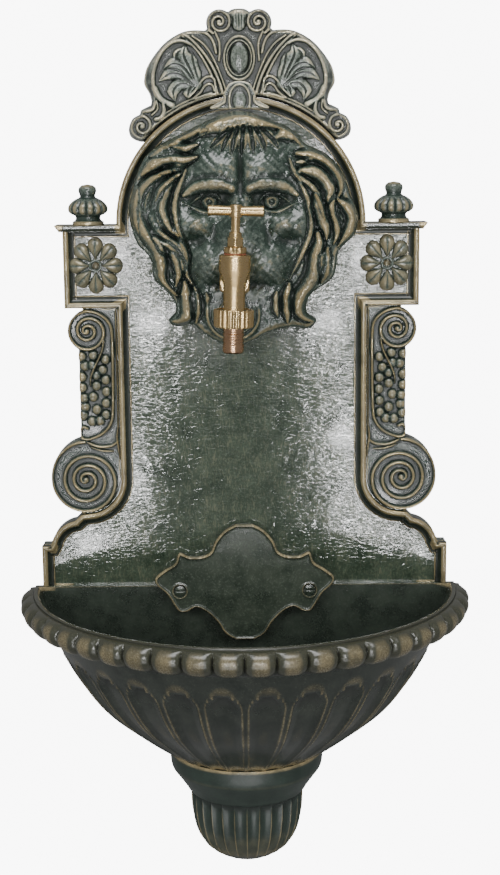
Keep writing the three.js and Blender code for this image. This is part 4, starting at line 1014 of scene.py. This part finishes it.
def basin_part():
    lobe = spline([(173.5, -24.2), (180, -23.6), (187, -21.0), (191.6, -16.2), (193.3, -10.5),
                   (191.4, -5.4), (187, -2.2), (182.8, -1.5)], 4)
    lip = rounded([[181.8, -1.8], [181.7, -0.2], [180.6, 0.0], [178.6, 0.0], [177.6, -0.8]], 0.3, 2)
    inner = spline([(176.4, -4), (172, -18), (166, -30), (149, -56), (128, -86), (104, -110.5),
                    (78, -131), (58, -139.6)], 5)
    a = np.linspace(0, PI, AROUND + 1)
    flute = np.abs(2 * ((FLUTES * a / PI) % 1) - 1)            # 0 in the middle, 1 on the rib
    lobe_wave = np.abs(2 * ((LOBES * a / PI) % 1) - 1)         # 0 in the middle, 1 in the groove
    slope = np.gradient(lobe, axis=0)
    slope /= np.linalg.norm(slope, axis=1)[:, None]
    rings = []

    def level(radius, z, back, rise=0.0):
        """One level; its radius and its rise may change round the front."""
        flat = half_ring(radius, back)
        heights = np.full(len(flat), z, float)
        heights[:AROUND + 1] += rise
        rings.append(np.column_stack([flat, heights]))

    for r, z in BOWL_SIDE:
        climb = np.maximum(z - ARCHES_Z, 0) / (ARCHES_TOP - ARCHES_Z)
        half = 0.80 * np.sqrt(np.clip(1 - climb ** 2, 0, 1))
        inside = np.clip(1 - flute / max(half, 1e-3), 0, 1) if half > 0 else np.zeros_like(flute)
        depth = 3.4 * np.minimum(1, inside * 2.2) ** 0.7 * min(1.0, (r - 55) / 40)
        bead = 1.0 * np.exp(-((flute - half - 0.05) / 0.06) ** 2) * (half > 0.02)
        level(r - depth + bead, z, BASIN_BACK)
    for (r, z), (tr, tz) in zip(lobe, slope):
        share = smooth(r, 171.0, 181.0) * smooth(-z, 1.0, 4.5)
        sink = 6.5 * share * (1 - np.sqrt(np.clip(1 - lobe_wave ** 3.0, 0, 1)))
        level(r - sink * tz, z, BASIN_BACK, sink * tr)
    for r, z in lip:
        level(r, z, BASIN_BACK if r > 179 else BASIN_BACK - 6)
    for r, z in inner:
        level(r, z, BASIN_BACK - 6)
    for source, z in ((rings[-1], -139.8), (rings[0], -145.8)):      # the hole for the drain
        arm = source[:, :2] - DRAIN
        arm /= np.linalg.norm(arm, axis=1)[:, None]
        rings.append(np.column_stack([DRAIN + DRAIN_R * arm, np.full(len(source), z)]))
    points = np.stack(rings)
    n, wide = points.shape[:2]
    return outward(weld(points.reshape(-1, 3), grid_faces(n, wide, True, True)))


def basin_gold(p):
    """None on the inside of the bowl, and towards the middle of each lobe on the rim."""
    x, y = p[:, 0], BASIN_Y - p[:, 1]
    wave = np.abs(2 * ((LOBES * np.arctan2(y, x) / PI) % 1) - 1)
    outside = np.maximum(smooth(np.hypot(x, y), 175.5, 178.5), smooth(p[:, 2], -1.2, -0.6))
    on_lobe = np.where(p[:, 2] > -1.2, 1.0, smooth(1 - wave, 0.05, 0.8))
    skin = (np.interp(p[:, 2], BOWL_SIDE[:, 1], BOWL_SIDE[:, 0])
            - np.interp(p[:, 2], [-60, -45], [4.3, 0.7]))
    return np.where(p[:, 2] < -26, 1.3 * (np.hypot(x, y) > skin), outside * on_lobe)


add("basin_casting", basin_part(), "basin", replaces=("basin",), rounds=60,
    scale=0.36, crease=50, gold=basin_gold)


CUP_TOP, CUP_STRETCH = -187, 0.13       # the cup hangs lower than its first outline


def pendant_part():
    outer = chain(spline([(0, -242.5), (12, -241.6), (22, -239.2), (36, -231), (44.5, -219),
                          (48.6, -204), (49.6, -188)], 5),
                  spline([(49.6, -184.6), (52, -183), (55, -178), (62, -168), (66, -162), (67.2, -155),
                          (67.0, -148)], 5), [[66.2, -146.3], [65, -146.1]])
    inner_line = spline([(0, -236), (18, -234), (31, -226), (39, -215), (43, -202), (44, -187),
                         (50, -178), (57, -167), (61, -158), (61, -146.1)], 8)
    length = np.concatenate([[0], np.cumsum(np.linalg.norm(np.diff(inner_line, axis=0), axis=1))])
    at = np.linspace(0, length[-1], len(outer))
    inner = np.stack([np.interp(at, length, inner_line[:, k]) for k in (0, 1)], 1)
    a = np.linspace(0, PI, AROUND // 2 + 1)
    wave = np.abs(np.sin(FLUTES * a))
    levels = []
    for k, (r, z) in enumerate(chain(outer, inner[::-1])):
        grooves = 0.0
        if k < len(outer) and -240.5 < z < CUP_TOP:
            grooves = 2.6 * min(1.0, r / 40) * wave ** 0.8 * smooth(z, -241, -236)
        radius = np.maximum(r - grooves, 0) * np.ones_like(a)
        front = np.stack([radius * np.cos(a), BASIN_Y - radius * np.sin(a)], 1)
        flat = chain([[radius[0], 0.0]], front, [[-radius[-1], 0.0]])
        levels.append(np.column_stack([flat, np.full(len(flat), z)]))
    points = np.stack(levels)
    points[..., 2] -= CUP_STRETCH * np.maximum(CUP_TOP - points[..., 2], 0)
    n, wide = points.shape[:2]
    half = len(outer)
    strip = []
    for i in range(half - 1):
        j = n - 1 - i
        for column in (0, wide - 1):
            quad = [i, i + 1, j - 1, j]
            quad = quad if column else quad[::-1]
            strip.append([k * wide + column for k in quad])
    return outward(weld(points.reshape(-1, 3), np.concatenate([grid_faces(n, wide), strip])))


add("pendant_casting", pendant_part(), "pendant", replaces=("pendant",), rounds=8,
    crease=55)

# ---- cover plate ----
cover_half = spline([
    (8, -48), (17, -42.5), (24, -32), (33, -23), (42, -18.8), (50, -22.6), (56.5, -22.6), (61, -17),
    (67, -7), (75.5, 1), (77, 8), (69, 15), (60, 21), (56, 30), (47, 26.8), (36, 27.2), (29, 31),
    (25, 40), (17, 49.5), (7, 55)], 6)


SCREW_X, SCREW_Z = 56, -4


def cover_front(x, z, d):
    u = np.abs(x)
    edge = 1.1 * np.exp(-((d - 1.5) / 0.9) ** 2)
    hole = np.hypot(u - SCREW_X, z - SCREW_Z)
    sunk = 2.2 * smooth(-hole, -5.6, -5.0)
    collar = 0.5 * np.exp(-((hole - 6.4) / 0.8) ** 2)
    fall = 1.0 * np.maximum(0, 1 - d / 0.9)
    return -np.clip(24.9 + edge + collar - sunk - fall, 21.5, 26.0)


add("cover_plate_relief",
    relief(symmetric(cover_half), 0.7, cover_front,
           lambda x, z, d: np.where((z > 0.4) & (d > 1.0), -14.4, -20.6)),
    "cover", replaces=("cover_plate",), rounds=6)


SCREW_COLUMNS, SCREW_R = 48, 4.7


def cover_screw():
    radii = np.array([0, 0.6, 1.2, 1.8, 2.4, 3.0, 3.6, 4.1, 4.5, SCREW_R])
    a = np.arange(SCREW_COLUMNS) * 2 * PI / SCREW_COLUMNS
    r = np.repeat(radii[:, None], SCREW_COLUMNS, 1)
    x, z = r * np.cos(a), r * np.sin(a)
    y = -24.2 - 0.7 * (1 - (r / SCREW_R) ** 2) + 0.9 * smooth(-np.abs(z), -0.95, -0.35)
    shank = [(SCREW_R, -23.8), (1.9, -22.9), (1.9, -6.4), (1.4, -6.0), (0, -6.0)]
    rows = [np.stack([x, y, z], 2)]
    for radius, depth in shank:
        level = [radius * np.cos(a), np.full(SCREW_COLUMNS, depth), radius * np.sin(a)]
        rows.append(np.stack(level, 1)[None])
    points = np.concatenate(rows).reshape(-1, 3)
    n = len(radii) + len(shank)
    return placed(outward(weld(points, grid_faces(n, SCREW_COLUMNS, False, True))), None,
                  (SCREW_X, 0, SCREW_Z))


right_screw = cover_screw()
for hand, side in SIDES.items():
    add(f"cover_screw_{hand}_slotted", handed(right_screw, side), "cover",
        replaces=(f"cover_screw_{hand}",), rounds=3)

# ---- tap ----
lean = np.array([[math.cos(TAP_LEAN), 0, math.sin(TAP_LEAN)], [0, 1, 0],
                 [-math.sin(TAP_LEAN), 0, math.cos(TAP_LEAN)]])


def on_tap(*parts):
    return placed(merge(*parts), lean, TAP_PLACE)


def hexagonal(across, soft=0.25):
    """Limits a turned shape to a hexagon with slightly rounded corners."""
    def shape(a, r, h):
        turn = (a + PI / 6) % (PI / 3) - PI / 6
        flat = across / 2 / np.cos(turn)
        return np.minimum(r, np.minimum(flat, across / math.sqrt(3) - soft) + 0 * h)
    return shape


def fluted(count, depth, low, high):
    def shape(a, r, h):
        inside = smooth(h, low, low + 0.8) * smooth(-h, -high, -high + 0.8)
        return r - depth * inside * np.abs(np.sin(count * a / 2)) ** 1.4
    return shape


def metal_piece(name, part, node, body="fountain", finish="polished_brass"):
    add(name, part, finish, body, (node,), crease=50)


metal_piece("tap_barrel", on_tap(
    ring([[6.2, -25.5], [13.2, -25.5], [13.2, -20.7], [8.6, -20.7], [8.7, -2], [9.7, 1.5], [12.2, 8.6],
          [12.7, 11], [12.7, 22.2], [11.9, 23], [7.6, 23], [7.6, 12.8], [6.8, 12.8], [6.8, -9],
          [4.2, -9], [4.2, -14], [6.2, -14]], 0.8, 96, None, 4),
    placed(turned(rounded([[0, 6.6], [8.8, 6.6], [8.8, 12.2], [10.4, 12.6], [10.4, 31], [5.5, 31],
                           [5.5, 8], [0, 8]], 0.5)), ALONG_Y),
    placed(ring([[5.6, 11.9], [11.2, 11.9], [13.6, 13.2], [13.6, 17.5], [11.2, 18.8], [5.6, 18.8]],
                0.3, 96, hexagonal(24)), ALONG_Y)), "tap_body")
metal_piece("tap_headgear", on_tap(
    ring([[4.9, 24.5], [8.9, 24.5], [8.9, 28.6], [8.3, 29.1], [5.6, 29.1], [5.6, 34.5], [4.9, 34.5],
          [4.9, 30.5], [3.8, 30.5], [3.8, 26], [4.9, 26]], 0.4, 144, fluted(12, 0.9, 24.4, 29.2)),
    ring([[4.9, 13], [7.3, 13], [7.3, 25], [4.9, 25]], 0.3, 48)), "headgear")
metal_piece("tap_gland_nut", on_tap(
    ring([[5.9, 29.4], [6.2, 29.4], [7.0, 30.1], [7.0, 35.9], [6.2, 36.8], [3.8, 36.8], [3.8, 34.9],
          [5.9, 34.9]], 0.2, 96, hexagonal(12.2)),
    ring([[3.8, 36.2], [5.4, 36.2], [4.9, 37.6], [4.9, 40.3], [4.3, 40.9], [3.8, 40.9]], 0.35, 64)),
    "gland_nut")
metal_piece("tap_spindle", on_tap(turned(rounded([
    [0, -3.3], [4, -3.3], [4, 10], [4.6, 10.6], [4.6, 19], [3.5, 20], [3.5, 60.2], [3.2, 60.5],
    [0, 60.5]], 0.3))), "spindle", "handle")
metal_piece("tap_bar", on_tap(
    placed(turned(rounded([[0, -22.2], [3.9, -22.2], [4.35, -21.6], [4.1, -15], [3.7, -5], [3.7, 5],
                           [4.1, 15], [4.35, 21.6], [3.9, 22.2], [0, 22.2]], 0.4, 4)),
           ALONG_X, (0, 0, 57.5)),
    ring([[3.8, 52.6], [4.9, 52.6], [5.2, 53.8], [5.2, 61.6], [4.4, 62.4], [0, 62.4], [0, 60.8],
          [3.8, 60.8]], 0.4, 72, None, 4)), "t_bar", "handle")
metal_piece("tap_union_nut", on_tap(
    ring([[13.5, -20.1], [15.2, -20.1], [16.0, -21.0], [16.0, -33.4], [15.2, -34.4], [8.9, -34.4],
          [8.9, -31.4], [13.5, -31.4]], 0.35, 288, fluted(24, 1.0, -34.6, -19.9), 4)),
    "hose_union_nut", "union_nut")
barbs = [[8.5 if abs(s) == 1.2 else 8.05, h + s] for h in (-47.2, -42.8, -38.6)
         for s in (-1.2, -0.4, 0.4, 1.2)]
metal_piece("tap_hose_tail", on_tap(
    ring([[6.2, -55.2], [7.6, -55.2], [8.5, -53.8], *barbs, [8.5, -31], [12.9, -31], [12.9, -28.1],
          [6.2, -28.1]], 0.35, 80)), "hose_tail", "tail", "copper_alloy")
metal_piece("tap_inlet_extension", placed(
    ring([[6.5, -59], [10.7, -59], [10.7, -71], [12, -71], [12, -47], [10.4, -47], [10.4, -0.6],
          [6.5, -0.6]], 0.4, 72), ALONG_Y, (TAP_PLACE[0], 0, TAP_PLACE[2])), "inlet_extension")

# ---- finishes of the CAD pieces that stay ----
slots = {part["node"]: part["material_slot"] for part in frame["record"]["subparts"]}
for node, slot in slots.items():
    found = bpy.data.objects.get(node)
    if found is not None and found.type == "MESH":
        for index in range(len(found.material_slots)):
            found.material_slots[index].material = looks[slot]


# ---- stage, light and camera ----
PALE, SHEET_GLOW = (0.95, 0.95, 0.95), 9.0
FLOOR_Z, WALL_R, WALL_TOP, WALL_SIDES = -1.2, 4.5, 4.6, 64


def plain_sheet(name, points, faces):
    """A pale sheet, seen behind the object, but neither lighting nor reflected in it."""
    material, tree, place = new_material(name + "_finish")
    tone = blend(tree, noise(tree, place, 0.6, 2.0), PALE, tuple(0.985 * c for c in PALE))
    finish_material(tree, {"Base Color": tone, "Roughness": 0.9, "Emission Color": tone,
                           "Emission Strength": SHEET_GLOW})
    mesh = bpy.data.meshes.new(name)
    mesh.from_pydata([tuple(p) for p in points], [], [tuple(f) for f in faces])
    mesh.materials.append(material)
    sheet = bpy.data.objects.new(name, mesh)
    bpy.context.scene.collection.objects.link(sheet)
    sheet.visible_diffuse = sheet.visible_glossy = sheet.visible_shadow = False


turns = np.linspace(0, 2 * PI, WALL_SIDES + 1)[:-1]
circle = [(WALL_R * math.cos(t), WALL_R * math.sin(t)) for t in turns]
plain_sheet("floor", [(x, y, FLOOR_Z) for x, y in circle], [range(WALL_SIDES)])
plain_sheet("backdrop", [(x, y, z) for z in (FLOOR_Z, WALL_TOP) for x, y in circle],
            [(k, (k + 1) % WALL_SIDES, (k + 1) % WALL_SIDES + WALL_SIDES, k + WALL_SIDES)
             for k in range(WALL_SIDES)])


def panel_light(name, place, look_at, size, power):
    light = bpy.data.lights.new(name, "AREA")
    light.shape = "RECTANGLE"
    light.size, light.size_y = size
    light.energy = power
    lamp = bpy.data.objects.new(name, light)
    place, look_at = np.array(place, float), np.array(look_at, float)
    back = place - look_at
    back /= np.linalg.norm(back)
    side = np.cross([0, 0, 1], back)
    side /= np.linalg.norm(side)
    up = np.cross(back, side)
    lamp.matrix_world = Matrix([[side[k], up[k], back[k], place[k]] for k in range(3)] + [[0, 0, 0, 1]])
    lamp.visible_camera = False
    bpy.context.scene.collection.objects.link(lamp)
    return lamp


# Small lights beside the camera, in staggered rows: the brush strokes in the panel break them into
# glints.
LIGHT_Y = -1.5
SPOT, SPOT_STEP, SPOT_GLOW = (0.05, 0.035), (0.14, 0.11), 80.0
SPOT_FIELDS = (     # left, right, low and high limits in metres, and share of the glow
    (-0.33, -0.13, 0.04, 0.42, 1.1), (0.12, 0.32, 0.04, 0.42, 1.0), (-0.31, -0.16, -0.36, -0.12, 1.0),
    (0.15, 0.30, -0.39, -0.13, 1.1), (0.28, 0.40, -0.40, -0.28, 1.0), (-0.38, -0.27, -0.40, -0.30, 0.6),
    (-0.24, 0.24, 0.46, 0.64, 0.3), (-0.09, 0.09, 0.0, 0.40, 0.05))
for group, (left, right, low, high, share) in enumerate(SPOT_FIELDS):
    for row, z in enumerate(np.arange(low + SPOT[1] / 2, high, SPOT_STEP[1])):
        first = left + SPOT[0] / 2 + SPOT_STEP[0] / 2 * (row % 2)
        for column, x in enumerate(np.arange(first, right, SPOT_STEP[0])):
            panel_light(f"spot_{group}_{row}_{column}", (x, LIGHT_Y, z), (x, 0, z), SPOT,
                        share * SPOT_GLOW * PI * SPOT[0] * SPOT[1])
for side in (-1, 1):    # these only fill the shadows
    fill = panel_light(f"side_{side}", (side * 1.5, -1.0, 0.9), (0, 0, 0.1), (0.7, 0.9), 16)
    fill.visible_glossy = False
panel_light("crest_glow", (0, LIGHT_Y, 0.62), (0, 0, 0.62), (0.5, 0.26), 0.1)
panel_light("top", (0, -0.9, 1.9), (0, 0, 0.1), (1.4, 0.9), 22)
panel_light("low", (0, -1.4, -0.9), (0, 0, -0.1), (1.2, 0.4), 4)
world = bpy.data.worlds.new("surroundings")
bpy.context.scene.world = world
world.use_nodes = True
world.node_tree.nodes["Background"].inputs["Color"].default_value = (1, 1, 1, 1)
world.node_tree.nodes["Background"].inputs["Strength"].default_value = 0.22

TILT, ROLL = math.radians(10.6), math.radians(0.57)
CAMERA_PLACE, LENS = (0.0058, -1.384, 0.385), 67.06
across = np.array([1.0, 0, 0])
upward = np.array([0, math.sin(TILT), math.cos(TILT)])
ahead = np.array([0, math.cos(TILT), -math.sin(TILT)])
camera_right = math.cos(ROLL) * across - math.sin(ROLL) * upward
camera_up = math.sin(ROLL) * across + math.cos(ROLL) * upward
camera_data = bpy.data.cameras.new("camera")
camera_data.lens = LENS
camera_data.sensor_width = 36.0
camera = bpy.data.objects.new("camera", camera_data)
camera.matrix_world = Matrix([
    [camera_right[k], camera_up[k], -ahead[k], CAMERA_PLACE[k]] for k in range(3)
] + [[0, 0, 0, 1]])
bpy.context.scene.collection.objects.link(camera)
bpy.context.scene.camera = camera
